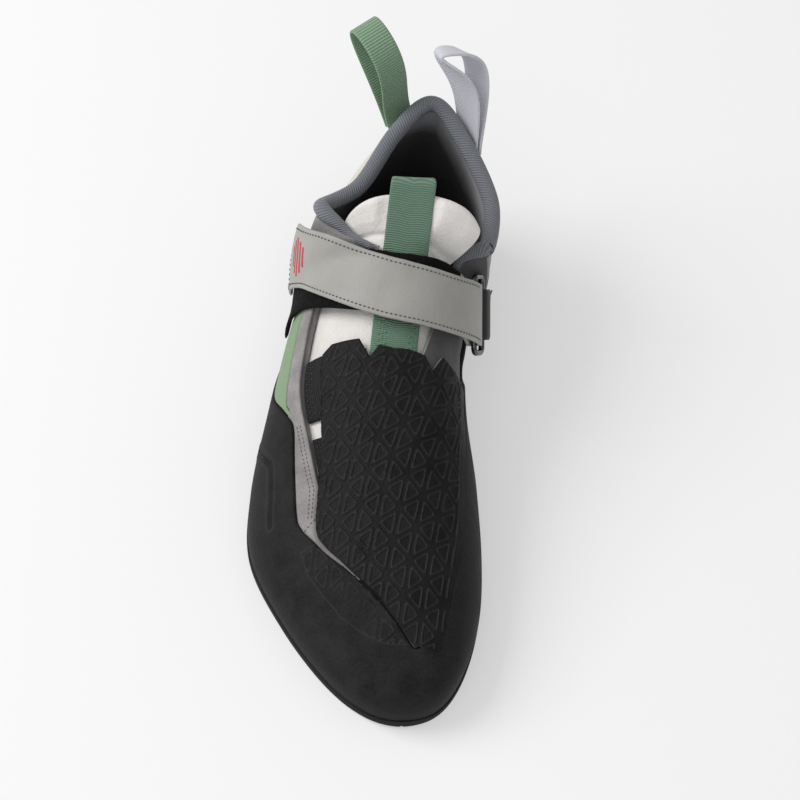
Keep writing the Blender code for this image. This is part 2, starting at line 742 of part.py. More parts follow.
def tongue_grid(depth, columns=11, rows=11, free_rows=TONGUE_FREE_ROWS):
    across = np.linspace(-1.0, 1.0, columns)
    ribs = np.linspace(TONGUE[0][0], STRAP_RIB, rows)
    left, right = tongue_reach(ribs)
    s = left[:, None] + (right - left)[:, None] * (across[None, :] + 1) / 2
    body = skin(*crossing(ribs[:, None], s), np.full(s.shape, -depth))
    free = np.linspace(0.0, 1.0, free_rows + 1)[1:, None]
    length = TONGUE_FREE * (1 - 0.22 * np.abs(across) ** 7)[None, :]
    ends = beyond_strap(np.broadcast_to(body[-1], (free_rows, columns, 3)), free * length)
    wing = np.where(across > 0, TONGUE_WING * across, 0.0) * ease(free, 0.45, 1.0)
    ends[..., 0] += wing
    ends[..., 2] += wing * WING_LIFT
    return np.concatenate([body, ends])


def make_tongue():
    outer, inner = tongue_grid(TONGUE_DEPTH), tongue_grid(TONGUE_DEPTH + TONGUE_THICKNESS)
    shell("tongue", outer, inner, PALE)


def tab_line(depth, ribs, forward, columns=4):
    """Rows across the tab: along the ridge up to the strap, then up the free end."""
    rows = []
    for rib, ahead in zip(ribs, forward):
        low = share_at(LATERAL, rib, "across", rib_at(rib)[4] - TAB_HALF_WIDTH)
        high = share_at(MEDIAL, rib, "across", rib_at(rib)[4] + TAB_HALF_WIDTH)
        s = np.linspace(-(1 - low), 1 - high, columns)
        points = skin(*crossing(np.full(columns, rib), s), np.full(columns, -depth))
        level = points[:, 2].max() if depth < TONGUE_DEPTH else points[:, 2].min()
        points[:, 2] += (level - points[:, 2]) * ease(ahead, 1.0, 10.0)
        rows.append(beyond_strap(points, np.full(columns, ahead)))
    return np.array(rows)


def fold(first, second, ahead, steps=6):
    """Half turn that joins the end of one run of a strip to the start of the next."""
    centre, reach = (first + second) / 2, (second - first) / 2
    radius = np.linalg.norm(reach, axis=-1, keepdims=True)
    ahead = ahead / np.linalg.norm(ahead, axis=-1, keepdims=True)
    angles = np.linspace(0.0, math.pi, steps + 2)[1:-1]
    return np.array([centre - reach * math.cos(a) + ahead * radius * math.sin(a) for a in angles])


def make_tab():
    free = TONGUE_FREE * np.linspace(0.0, 1.0, TONGUE_FREE_ROWS + 1)[1:]
    forward = np.concatenate([np.zeros(7), free, [TAB_FREE]])
    ribs = np.concatenate([np.linspace(6.0, STRAP_RIB, 7), np.full(len(forward) - 7, STRAP_RIB)])
    above = TONGUE_DEPTH - GAP - 0.2 - WEBBING / 2
    below = TONGUE_DEPTH + TONGUE_THICKNESS + GAP + 0.2 + WEBBING / 2
    outer = tab_line(above, ribs, forward)
    back = tab_line(below, ribs[-5:], forward[-5:])[::-1]
    turn = fold(outer[-1], back[0], outer[-1] - outer[-2])
    sheet("tongue_pull_tab", np.concatenate([outer, turn, back]), WEBBING, GREEN)


def make_elastic():
    for name, start, end in (("elastic_band_front", 4.35, 5.12), ("elastic_band_rear", 5.34, 6.2)):
        ribs = np.linspace(start, end, 4)
        turn, rise = between(ribs, edge_share(ribs) + 0.008, np.full(4, 0.86), 5)
        plate(name, turn, rise, -UPPER_WALL, -0.7, DARK)


# The strap's middle line: under run with the pile from the lateral side to the ring, then the top run back
STRAP_UNDER = (
    # x, y, z
    (-50.0, 172.0, 36.0),
    (-48.0, 170.0, 54.0),
    (-34.0, 161.0, 71.5),
    (-6.0, 154.5, 77.0),
    (10.0, 155.0, 73.0),
    (23.0, 158.0, 55.0),
)
STRAP_TOP = (
    # x, y, z
    (23.0, 158.0, 55.0),
    (10.0, 151.0, 70.5),
    (-5.0, 151.5, 75.5),
    (-25.0, 159.5, 74.5),
    (-41.0, 173.5, 66.0),
    (-44.5, 183.0, 54.0),
    (-42.0, 191.0, 38.0),
)
STRAP_ACROSS = np.array([0.10, 0.78, 0.62])
UNDER_OFFSET = GAP + OVERLAY + 0.6 + STRAP_THICKNESS / 2
TOP_OFFSET = UNDER_OFFSET + STRAP_THICKNESS + 0.4
RING_OFFSET = UNDER_OFFSET + STRAP_THICKNESS / 2 + GAP + RING_WIRE / 2
RING_CLEAR = 0.9
FOLD_OFFSET = RING_OFFSET + RING_WIRE / 2 + 2 * GAP + STRAP_THICKNESS / 2

SAMPLE_TURNS, SAMPLE_RISES = np.meshgrid(
    np.arange(0.0, TURNS, 0.05), np.linspace(0.0, 1.0, 61), indexing="ij"
)
SAMPLES = last(SAMPLE_TURNS, SAMPLE_RISES)


def nearest(point):
    """Address of the place on the last nearest to a point."""
    distance = np.sum((SAMPLES - point) ** 2, axis=-1)
    i = np.unravel_index(np.argmin(distance), distance.shape)
    turn, rise = SAMPLE_TURNS[i], SAMPLE_RISES[i]
    for reach_turn, reach_rise in ((0.05, 0.017), (0.008, 0.003)):
        steps = np.linspace(-1.0, 1.0, 13)
        turns, rises = np.meshgrid(turn + steps * reach_turn, rise + steps * reach_rise, indexing="ij")
        rises = np.clip(rises, 0.0, 1.0)
        distance = np.sum((last(turns, rises) - point) ** 2, axis=-1)
        i = np.unravel_index(np.argmin(distance), distance.shape)
        turn, rise = turns[i], rises[i]
    return turn, rise


def along_points(table, count):
    points = np.array(table) * (ACROSS, ALONG, 1.0)
    steps = np.concatenate([[0.0], np.cumsum(np.linalg.norm(np.diff(points, axis=0), axis=1))])
    places = np.linspace(0.0, steps[-1], count)
    return np.stack([through(steps, points[:, c], places) for c in range(3)], axis=1)


def relaxed(grid, offsets, rounds=2):
    """Evens a strip out along its length, as a pull would, and keeps it off what it lies on."""
    for _ in range(rounds):
        grid = grid.copy()
        grid[1:-1] = (grid[:-2] + 2 * grid[1:-1] + grid[2:]) / 4
    for row, offset in zip(grid, offsets):
        for point in row:
            place_on = nearest(point)
            normal = outward(*place_on)
            height = np.dot(point - last(*place_on), normal)
            point += normal * max(offset - height, 0.0)
    return grid


def straightened(row, share):
    """A row across the strap, drawn towards the straight line of the ring's bar."""
    line = row[0] + (row[-1] - row[0]) * np.linspace(0.0, 1.0, len(row))[:, None]
    line += (row - line).mean(axis=0)
    return row * (1 - share) + line * share


def strap_run(table, offsets, columns, count):
    """A run of the strap, laid on the last at its own offset."""
    across = STRAP_ACROSS / np.linalg.norm(STRAP_ACROSS) * STRAP_WIDTH / 2
    rows = []
    for point, offset in zip(along_points(table, count), offsets):
        row = []
        for a in np.linspace(-1.0, 1.0, columns):
            turn, rise = nearest(point + across * a)
            row.append(skin(turn, rise, offset))
        rows.append(row)
    return relaxed(np.array(rows), offsets)


def strap_runs(columns=4, count=17):
    lift = np.linspace(0.0, 1.0, count)
    under = strap_run(STRAP_UNDER, UNDER_OFFSET + RING_CLEAR * ease(lift, 0.7, 1.0), columns, count)
    to_fold = FOLD_OFFSET + RING_CLEAR - TOP_OFFSET
    offsets = TOP_OFFSET + to_fold * (1 - ease(lift, 0.0, 0.3))
    top = strap_run(STRAP_TOP, offsets, columns, count)
    for i, share in enumerate((1.0, 0.7, 0.3)):
        under[-1 - i] = straightened(under[-1 - i], share)
        top[i] = straightened(top[i], share)
    return under, top


def make_strap():
    under, top = strap_runs()
    middle = (under[-1] + top[0]) / 2
    bar = (middle[-1] - middle[0]) / np.linalg.norm(middle[-1] - middle[0])
    ahead = (under[-1] - under[-3]).mean(axis=0)
    ahead -= bar * np.dot(ahead, bar)
    ahead /= np.linalg.norm(ahead)
    turn = fold(under[-1], top[0], np.broadcast_to(ahead, under[-1].shape))
    sheet("strap", np.concatenate([under, turn, top]), STRAP_THICKNESS, (0.36, 0.36, 0.34))
    make_ring(middle.mean(axis=0), bar, ahead)


RING_LONG, RING_SHORT, RING_CORNER = 30.0, 9.5, 2.6


def make_ring(centre, bar, ahead):
    corners = []
    for long_sign, short_sign, start in ((1, 0, -90), (1, 1, 0), (-1, 1, 90), (-1, 0, 180)):
        for angle in np.linspace(start, start + 90, 5):
            a = math.radians(angle)
            along = long_sign * (RING_LONG / 2 - RING_CORNER) + RING_CORNER * math.cos(a)
            out = short_sign * RING_SHORT + RING_CORNER * (math.sin(a) + (1 if short_sign == 0 else -1))
            corners.append(centre + bar * along + ahead * out)
    tube("strap_ring", np.array(corners), RING_WIRE / 2, (0.30, 0.30, 0.31), True, 8, roughness=0.25)
    far = centre + ahead * RING_SHORT
    normal = np.cross(bar, ahead)
    normal *= np.sign(np.dot(normal, outward(*nearest(centre))))
    reach = RING_WIRE / 2 + GAP + WEBBING / 2
    width = np.linspace(-10.0, 10.0, 4)[:, None] * bar
    inner, outer = [], []
    for step in (14.0, 9.0, 4.0):
        over = [nearest(far + ahead * step + w - normal * 3) for w in width]
        wall = np.array([skin(*spot, GAP + WEBBING / 2 + 0.2) for spot in over])
        line = far + ahead * step + width
        share = ease(step, 2.0, 14.0)
        inner.append(wall * share + (line - normal * reach) * (1 - share))
        outer.append((wall + normal * (WEBBING + 0.3)) * share + (line + normal * reach) * (1 - share))
    inner.append(far + width - normal * reach)
    outer.append(far + width + normal * reach)
    inner, outer = np.array(inner), np.array(outer)
    turn = fold(inner[-1], outer[-1], np.broadcast_to(-ahead, inner[-1].shape))
    sheet("ring_tab", np.concatenate([inner, turn, outer[::-1]]), WEBBING, GREY)


# Pull loops at the heel: where they leave the collar, where they end, half width and half opening
HEEL_LOOPS = (
    # name, turn, foot offset, top point, width direction, half width, half opening, bow, twist, colour
    ("heel_loop_lateral", 12.40, 3.5, (-24.0, 249.0, 119.0), (0.76, 0.61, 0.25), 6.0, 7.5, -4.0, 0, GREEN),
    ("heel_loop_medial", 14.1, 3.1, (7.0, 246.5, 108.5), (-0.35, 0.90, 0.20), 6.0, 5.4, 7.2, -45, WHITE),
)
LOOP_BELOW_RIM = 0.90
LOOP_FULL = 1.55


def loop_grid(turn, foot, end, width, half_width, half_open, bow, twist, rows=25, columns=2):
    base, way_out = skin(turn, LOOP_BELOW_RIM, foot), outward(turn, LOOP_BELOW_RIM)
    end = np.array(end) * (ACROSS, ALONG, 1.0)
    length = end - base
    width = np.array(width) / np.linalg.norm(width)
    width -= length * np.dot(width, length) / np.dot(length, length)
    width /= np.linalg.norm(width)
    open_way = np.cross(width, length)
    open_way /= np.linalg.norm(open_way)
    grid = []
    for t in np.linspace(0.0, 1.0, rows):
        rise = (1 - math.cos(2 * math.pi * t)) / 2
        spread = (WEBBING / 2 + 0.25) * math.cos(math.pi * t)
        spread += half_open * LOOP_FULL * math.sin(2 * math.pi * t) * rise**1.4
        bowed = way_out * bow * 6.75 * rise**2 * (1 - rise)
        angle = math.radians(twist) * 4 * rise * (1 - rise)
        level = width * math.cos(angle) + open_way * math.sin(angle)
        through_loop = open_way * math.cos(angle) - width * math.sin(angle)
        middle = base + length * rise + through_loop * spread + bowed
        grid.append([middle + level * half_width * a for a in np.linspace(-1.0, 1.0, columns)])
    return np.array(grid)


def make_loops():
    for name, *sizes, colour in HEEL_LOOPS:
        sheet(name, loop_grid(*sizes), WEBBING, colour)


def main():
    for obj in list(bpy.data.objects):
        bpy.data.objects.remove(obj, do_unlink=True)
    make_upper()
    make_bottom()
    make_rand()
    make_patch()
    make_heel_cup()
    make_overlays()
    make_binding()
    make_tongue()
    make_tab()
    make_elastic()
    make_strap()
    make_loops()


main()
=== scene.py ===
"""Looks of a right climbing shoe: rubber, suede, knit and webbing laid on the shape of its last.

Lengths in the tables are millimetres: x to the medial side, y from the toe tip to the heel, z up.
turn walks round the ribs of the last from the toe tip along the lateral side; rise climbs a rib.
"""

import math

import bmesh
import bpy
import numpy as np
from mathutils import Matrix, Vector


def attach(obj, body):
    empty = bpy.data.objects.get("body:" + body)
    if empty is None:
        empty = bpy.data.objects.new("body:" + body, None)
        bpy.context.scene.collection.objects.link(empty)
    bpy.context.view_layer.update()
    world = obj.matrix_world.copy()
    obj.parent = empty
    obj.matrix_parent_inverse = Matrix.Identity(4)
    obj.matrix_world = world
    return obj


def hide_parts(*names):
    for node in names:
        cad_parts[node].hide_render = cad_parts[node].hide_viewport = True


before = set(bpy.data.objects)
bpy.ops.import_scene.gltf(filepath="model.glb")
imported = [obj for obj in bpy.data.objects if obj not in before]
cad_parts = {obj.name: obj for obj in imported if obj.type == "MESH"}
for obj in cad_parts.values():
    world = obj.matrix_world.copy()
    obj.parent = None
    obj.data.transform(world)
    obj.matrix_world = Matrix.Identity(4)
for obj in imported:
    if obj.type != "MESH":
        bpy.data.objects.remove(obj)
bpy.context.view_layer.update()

# Camera
ELEVATION, AZIMUTH, ROLL = 55.0, -7.0, 8.5
DISTANCE, PIXELS_PER_MM, PICTURE = 1.5, 2.55, 800
LOOK_AT = Vector((0.0, 0.055, 0.035))
TOE_TIP, TOE_PIXEL = Vector((0.0, -0.067, 0.006)), (402, 717)
SENSOR = 36.0


# Shape of the last, in millimetres

MM = 0.001
ORIGIN_BEHIND_TOE = 70.0
GAP = 0.3
SOLE_THICKNESS = 4.0
SOLE_LIP = 2.6
SOLE_CLEAR = 0.05
SOLE_EDGE_ROUND = 1.2
UPPER_WALL = 2.0
RUBBER = 1.8
OVERLAY = 1.2
INSOLE_THICKNESS = 2.2
INSOLE_INSET = 3.4
TONGUE_THICKNESS = 3.2
WEBBING = 1.3
STRAP_THICKNESS = 1.5
STRAP_WIDTH = 25.0
BINDING_RADIUS = 3.0
RING_WIRE = 2.4
LATERAL_RIBS = (
    # x, y, out, up, top_x, top_y, top_z, over, drop, lean, edge
    (0.0, 4.0, 3.0, 14.0, 4.4, 22.0, 27.0, 12.0, 0.0, 0.41, 1.00),
    (-12.5, 7.0, 3.0, 14.0, 4.4, 22.0, 27.0, 16.0, 0.0, 0.41, 1.00),
    (-27.5, 20.0, 3.5, 15.0, 4.4, 22.0, 27.0, 20.0, 0.0, 0.41, 1.00),
    (-43.5, 43.0, 4.5, 16.0, -1.0, 46.0, 37.0, 24.0, 0.0, 0.40, 1.00),
    (-56.5, 71.0, 4.5, 19.0, -5.5, 71.0, 45.0, 28.0, 0.0, 0.34, 0.70),
    (-57.5, 98.0, 4.0, 22.0, -8.5, 97.0, 53.5, 28.0, 0.0, 0.33, 0.605),
    (-52.0, 127.0, 5.0, 26.0, -8.3, 125.0, 63.5, 28.0, 0.0, 0.38, 0.49),
    (-46.0, 151.0, 8.0, 29.0, -6.3, 151.0, 73.5, 28.0, 0.0, 0.42, 0.51),
    (-42.0, 164.0, 10.0, 29.0, -5.0, 164.0, 80.0, 27.0, 0.0, 0.48, 0.80),
    (-38.5, 176.0, 11.0, 29.0, -21.0, 171.5, 81.0, 18.0, 0.0, 0.40, 1.00),
    (-34.5, 191.0, 11.0, 28.0, -39.5, 188.0, 75.0, 3.0, 16.0, 0.00, 1.00),
    (-28.0, 213.0, 8.0, 26.0, -24.5, 206.0, 71.0, 9.0, 18.0, 0.00, 1.00),
    (-16.0, 236.0, 9.0, 25.0, -10.5, 227.0, 79.0, 7.0, 20.0, 0.00, 1.00),
    (2.0, 243.0, 9.0, 26.0, 5.0, 238.5, 84.0, 0.0, 22.0, 0.00, 1.00),
)
MEDIAL_RIBS = (
    # x, y, out, up, top_x, top_y, top_z, over, drop, lean, edge
    (12.0, 8.5, 3.0, 15.0, 4.4, 22.0, 27.0, 10.0, 0.0, 0.41, 1.00),
    (21.0, 22.5, 3.0, 18.0, 4.4, 22.0, 27.0, 12.0, 0.0, 0.41, 1.00),
    (27.0, 45.0, 3.0, 20.0, -1.0, 46.0, 37.0, 18.0, 0.0, 0.40, 1.00),
    (28.0, 70.0, 3.0, 24.0, -5.5, 71.0, 45.0, 22.0, 0.0, 0.34, 1.00),
    (26.0, 96.0, 3.0, 30.0, -8.5, 97.0, 53.5, 24.0, 0.0, 0.33, 1.00),
    (21.0, 123.0, 4.0, 34.0, -8.3, 125.0, 63.5, 20.0, 0.0, 0.38, 0.82),
    (19.0, 149.0, 6.0, 36.0, -6.3, 151.0, 73.5, 18.0, 0.0, 0.42, 0.66),
    (20.0, 161.0, 7.0, 34.0, -5.0, 164.0, 80.0, 18.0, 0.0, 0.48, 0.60),
    (21.5, 171.0, 7.0, 32.0, -4.0, 173.0, 86.5, 18.0, 0.0, 0.55, 0.52),
    (24.0, 183.0, 8.0, 27.0, 29.0, 178.0, 67.0, 2.0, 16.0, 0.00, 1.00),
    (28.0, 207.0, 6.5, 24.0, 30.5, 200.0, 71.0, 1.0, 18.0, 0.00, 1.00),
    (20.0, 233.0, 9.0, 25.0, 18.5, 226.0, 79.0, 4.0, 20.0, 0.00, 1.00),
)
HEEL_RIB = len(LATERAL_RIBS) - 1
TURNS = 2 * HEEL_RIB
POLE_RIB = 2.0
CLOSED_TO = 3.0
STRAP_RIB = 8.0
COLLAR_RIB = 10.0
STATIONS = np.linspace(0.0, HEEL_RIB, 44)
RAND_END = 34
SOLE_PROFILE = (
    # y, height
    (-4.0, 2.2),
    (6.0, 0.4),
    (12.0, 0.0),
    (84.0, 0.0),
    (102.0, 2.4),
    (128.0, 8.5),
    (150.0, 10.5),
    (172.0, 8.0),
    (196.0, 1.4),
    (206.0, 0.0),
    (232.0, 0.0),
    (250.0, 2.6),
)
RAND_LATERAL = (
    # rib, kind, value
    (0.0, "share", 0.93),
    (1.0, "share", 0.94),
    (2.0, "share", 0.95),
    (3.0, "share", 0.785),
    (3.5, "share", 0.672),
    (3.85, "share", 0.588),
    (4.0, "share", 0.542),
    (4.12, "share", 0.524),
    (4.5, "share", 0.528),
    (4.83, "share", 0.523),
    (5.17, "share", 0.509),
    (5.36, "share", 0.490),
    (5.63, "share", 0.398),
    (6.0, "share", 0.250),
    (6.3, "height", 28.0),
    (7.0, "height", 25.0),
    (10.4, "height", 19.0),
)
RAND_MEDIAL = (
    # rib, kind, value
    (0.0, "share", 0.90),
    (1.0, "share", 0.88),
    (2.0, "share", 0.72),
    (3.0, "across", 16.5),
    (4.0, "across", 20.5),
    (5.0, "across", 20.3),
    (5.6, "across", 20.0),
    (6.2, "height", 40.0),
    (7.0, "height", 27.0),
    (10.4, "height", 19.0),
)
PATCH_LATERAL = (
    # rib, kind, value
    (2.0, "share", 0.985),
    (2.4, "share", 0.935),
    (2.8, "share", 0.857),
    (3.25, "share", 0.757),
    (3.55, "share", 0.692),
    (3.75, "share", 0.642),
    (3.9, "share", 0.618),
    (4.3, "share", 0.648),
    (4.9, "share", 0.678),
    (5.5, "share", 0.657),
    (6.1, "share", 0.633),
    (7.0, "share", 0.600),
)
PATCH_BACK = (
    # x, y
    (-35.5, 128.0),
    (-34.0, 133.0),
    (-31.0, 136.0),
    (-21.3, 136.0),
    (-17.2, 128.7),
    (-13.9, 133.0),
    (-5.0, 132.0),
    (3.4, 131.0),
    (6.5, 126.0),
    (10.4, 133.3),
    (15.5, 131.5),
    (20.0, 130.0),
)
EYESTAY_SHARE = 0.085
HEEL_CUP = (
    # rib, height
    (10.2, 19.0),
    (11.0, 30.0),
    (12.0, 48.0),
    (13.0, 56.0),
)
LATERAL, MEDIAL = -1, 1


def ease(x, start, end):
    s = np.clip((np.asarray(x, float) - start) / (end - start), 0.0, 1.0)
    return s * s * (3 - 2 * s)


def stretch(x, start, full, fading, end):
    """1 from full to fading, eased to 0 at start and end."""
    return ease(x, start, full) * (1 - ease(x, fading, end))


def unit(vectors):
    """The same directions with a length of one."""
    return vectors / np.linalg.norm(vectors, axis=-1, keepdims=True)


def slopes(values, spacing, closed):
    """Tangents of a monotone cubic through a column of values."""
    steps = np.diff(values) / spacing
    if closed:
        wrap = (values[:1] - values[-1:]) / spacing[-1]
        before, after = np.concatenate([wrap, steps]), np.concatenate([steps, wrap])
    else:
        before = np.concatenate([steps[:1], steps])
        after = np.concatenate([steps, steps[-1:]])
    same = before * after > 0
    return np.where(same, 2 * before * after / np.where(same, before + after, 1.0), 0.0)


def hermite(start, end, start_slope, end_slope, span, s):
    share = s * s * (3 - 2 * s)
    bend = start_slope * s * (1 - s) ** 2 - end_slope * s * s * (1 - s)
    return start * (1 - share) + end * share + span * bend


def through(xs, ys, x):
    """Value at x of the monotone cubic through (xs, ys); flat stretches stay flat."""
    xs, ys = np.asarray(xs, float), np.asarray(ys, float)
    span = np.diff(xs)
    tangents = slopes(ys, span, False)
    x = np.clip(np.asarray(x, float), xs[0], xs[-1])
    i = np.clip(np.searchsorted(xs, x, side="right") - 1, 0, len(span) - 1)
    return hermite(ys[i], ys[i + 1], tangents[i], tangents[i + 1], span[i], (x - xs[i]) / span[i])


def sole_height(y):
    return through([row[0] for row in SOLE_PROFILE], [row[1] for row in SOLE_PROFILE], y)


LOOP = np.array(LATERAL_RIBS + MEDIAL_RIBS[::-1])
SMOOTH_TANGENTS = (np.roll(LOOP, -1, axis=0) - np.roll(LOOP, 1, axis=0)) / 2
EVEN = np.ones(TURNS)
TIGHT_TANGENTS = np.stack(
    [slopes(LOOP[:, c], EVEN[:-1], True) for c in range(LOOP.shape[1])], axis=1
)
TIGHT_COLUMNS = (4, 5, 6, 7, 8, 9, 10)
FRONT_ROWS = [row for row in range(TURNS) if min(row, TURNS - row) <= COLLAR_RIB]
for index in TIGHT_COLUMNS:
    SMOOTH_TANGENTS[FRONT_ROWS, index] = TIGHT_TANGENTS[FRONT_ROWS, index]


def rib_at(turn):
    """The table's columns at any turn round the shoe."""
    turn = np.mod(np.asarray(turn, float), TURNS)
    i = np.floor(turn).astype(int) % TURNS
    after = (i + 1) % TURNS
    s = (turn - np.floor(turn))[..., None]
    return hermite(LOOP[i], LOOP[after], SMOOTH_TANGENTS[i], SMOOTH_TANGENTS[after], 1.0, s)


def plan_normal(turn):
    """Outward direction of the feather line in plan."""
    ahead, behind = rib_at(np.asarray(turn) + 0.02), rib_at(np.asarray(turn) - 0.02)
    along = unit(ahead[..., :2] - behind[..., :2])
    return np.stack([-along[..., 1], along[..., 0]], axis=-1)


def edge_share(turn):
    return np.clip(rib_at(turn)[..., 10], 0.0, 1.0)


def last(turn, rise):
    """Point on the outside of the upper."""
    turn, rise = np.broadcast_arrays(np.asarray(turn, float), np.asarray(rise, float))
    rib, normal = rib_at(turn), plan_normal(turn)
    foot_z = sole_height(rib[..., 1]) + SOLE_THICKNESS + GAP
    foot = np.stack([rib[..., 0], rib[..., 1], foot_z], axis=-1)
    out, up, over, drop, lean = rib[..., 2], rib[..., 3], rib[..., 7], rib[..., 8], rib[..., 9]
    low = foot + np.stack([normal[..., 0] * out, normal[..., 1] * out, up], axis=-1)
    top = rib[..., 4:7]
    fall = lean * normal[..., 1] * over - drop
    high = top + np.stack([normal[..., 0] * over, normal[..., 1] * over, fall], axis=-1)
    w = rise[..., None]
    return (
        foot * (1 - w) ** 3
        + low * 3 * (1 - w) ** 2 * w
        + high * 3 * (1 - w) * w**2
        + top * w**3
    )


def rib_number(turn):
    turn = np.mod(np.asarray(turn, float), TURNS)
    return np.minimum(turn, TURNS - turn)


def outward(turn, rise):
    """Unit normal of the last; along the ridge both sides share one."""
    turn, rise = np.broadcast_arrays(np.asarray(turn, float), np.asarray(rise, float))
    lower = np.minimum(rise, 0.97)
    along = last(turn + 0.01, lower) - last(turn - 0.01, lower)
    climb = last(turn, np.minimum(rise + 0.002, 1.0)) - last(turn, np.maximum(rise - 0.002, 0.0))
    normal = unit(np.cross(climb, along))
    number = np.clip(rib_number(turn), POLE_RIB + 0.02, STRAP_RIB - 0.02)
    ridge = rib_at(number + 0.02)[..., 4:7] - rib_at(number - 0.02)[..., 4:7]
    crest = unit(np.stack([np.zeros_like(rise), -ridge[..., 2], ridge[..., 1]], axis=-1))
    blend = np.clip((rise - 0.94) / 0.06, 0.0, 1.0) * np.clip(STRAP_RIB + 0.3 - rib_number(turn), 0, 1)
    return unit(normal * (1 - blend[..., None]) + crest * blend[..., None])


def skin(turn, rise, offset):
    offset = np.asarray(offset, float)
    return last(turn, rise) + outward(turn, rise) * offset[..., None]


def on_skin(turn, rise, offset):
    """Points at one offset from the last."""
    return skin(turn, rise, np.full(np.shape(rise), offset))


def turn_of(side, rib):
    rib = np.asarray(rib, float)
    return rib if side == LATERAL else TURNS - rib


def crossing(rib, s):
    """Address of a place across the forefoot: s is -1 at the lateral foot, 0 on the ridge, 1 medial."""
    rib, s = np.broadcast_arrays(np.asarray(rib, float), np.asarray(s, float))
    return np.where(s < 0, rib, TURNS - rib), 1 - np.abs(s)


RISES = np.linspace(0.0, 1.0, 301)


def share_at(side, rib, kind, value):
    """Share of a rib at a given place across, or height."""
    if kind == "share":
        return value
    points = last(np.full(RISES.shape, turn_of(side, rib)), RISES)
    if kind == "height":
        return float(np.interp(value, np.maximum.accumulate(points[:, 2]), RISES))
    reach = points[:, 0] * side
    widest = int(np.argmax(reach))
    return float(np.interp(-value * side, -reach[widest:], RISES[widest:]))


def border(side, table):
    """A border along one side of the shoe: share of the rib as a function of the rib."""
    ribs = [row[0] for row in table]
    shares = [share_at(side, *row) for row in table]
    return lambda rib: through(ribs, shares, rib)


def at_plan(x, y):
    """Rib and place across under a point of the top side in plan."""
    grid = np.linspace(-1.0, 1.0, 401)
    rib = 6.0
    for _ in range(8):
        points = last(*crossing(np.full(grid.shape, rib), grid))
        first, end = int(np.argmin(points[:, 0])), int(np.argmax(points[:, 0]))
        s = float(np.interp(x, points[first : end + 1, 0], grid[first : end + 1]))
        here = last(*crossing(rib, s))[1]
        step = last(*crossing(rib + 0.05, s))[1] - here
        rib = min(max(rib + (y - here) / step * 0.05, POLE_RIB), STRAP_RIB)
    return rib, s


def around(stations):
    """Turns at the stations of both sides, all the way round."""
    return np.concatenate([stations, TURNS - stations[-2:0:-1]])


def rubber_share(turn):
    """Top of the rubber round the whole shoe: rand, then heel cup."""
    return np.where(rib_number(turn) > STATIONS[RAND_END] + 0.01, heel_share(turn), rand_share(turn))


RAND_L = border(LATERAL, RAND_LATERAL)
RAND_M = border(MEDIAL, RAND_MEDIAL)
PATCH_L = border(LATERAL, PATCH_LATERAL)
SEAM = 0.012


def rand_share(turn):
    lateral = np.mod(turn, TURNS) <= HEEL_RIB
    return np.where(lateral, RAND_L(rib_number(turn)), RAND_M(rib_number(turn)))


def patch_sides(rib):
    """Places across at the patch's free lateral edge and at its seam on the rand."""
    seam = SEAM * (4 - 3 * ease(rib, POLE_RIB, POLE_RIB + 1.0))
    return PATCH_L(rib) - 1, 1 - RAND_M(rib) - seam


def heel_share(turn):
    rib = rib_number(turn)
    heights = through([row[0] for row in HEEL_CUP], [row[1] for row in HEEL_CUP], rib)
    lateral = np.mod(turn, TURNS) <= HEEL_RIB
    sides = np.where(lateral, LATERAL, MEDIAL)
    found = [share_at(s, r, "height", h) for s, r, h in zip(sides, rib, heights)]
    return np.array(found)


def between(ribs, low, high, share):
    rise = low[:, None] + (high - low)[:, None] * share[None, :]
    return np.broadcast_to(np.asarray(ribs, float)[:, None], rise.shape), rise


def eyestay_outer(rib):
    beside_rand = RAND_L(rib) + SEAM * (3 - 2 * ease(rib, 4.2, 4.8) + 3 * ease(rib, 5.3, 5.7))
    return np.maximum(beside_rand, edge_share(rib) - EYESTAY_SHARE)


def rim(turn, offset, lift):
    """Points along the upper's top edge, moved out and on up the wall, square to the edge."""
    top = edge_share(turn)
    ahead, behind = turn + 0.02, turn - 0.02
    along = unit(last(ahead, edge_share(ahead)) - last(behind, edge_share(behind)))
    climb = last(turn, top) - last(turn, top - 0.02)
    climb = unit(climb - along * np.sum(along * climb, axis=-1, keepdims=True))
    return on_skin(turn, top, offset) + climb * np.asarray(lift)[..., None]


TONGUE = (
    # rib, lateral x, medial x
    (3.3, -20.0, 4.0),
    (4.0, -44.0, 12.0),
    (6.0, -47.0, 16.0),
    (7.0, -44.0, 17.0),
    (8.0, -34.0, 14.0),
)
TONGUE_DEPTH = UPPER_WALL + 0.9
TONGUE_FREE = 19.5
TONGUE_CURL = 0.0225
TAB_FREE = 21.5
TAB_HALF_WIDTH = 9.5


def tongue_reach(rib):
    ribs = [row[0] for row in TONGUE]
    lateral = [-(1 - share_at(LATERAL, row[0], "across", row[1])) for row in TONGUE]
    medial = [1 - share_at(MEDIAL, row[0], "across", row[2]) for row in TONGUE]
    return through(ribs, lateral, rib), through(ribs, medial, rib)


def beyond_strap(points, forward):
    """Carries the tongue's section at the strap on up the shin by a distance forward."""
    forward = np.asarray(forward, float)
    slope = rib_at(STRAP_RIB)[9]
    up = slope * forward + TONGUE_CURL * forward**2
    return points + np.stack([forward * 0.08, forward, up], axis=-1)


def fold(first, second, ahead, steps):
    """Half turn that joins the end of one run of a strip to the start of the next."""
    centre, reach = (first + second) / 2, (second - first) / 2
    radius = np.linalg.norm(reach, axis=-1, keepdims=True)
    ahead = unit(ahead)
    angles = np.linspace(0.0, math.pi, steps + 2)[1:-1]
    return np.array([centre - reach * math.cos(a) + ahead * radius * math.sin(a) for a in angles])


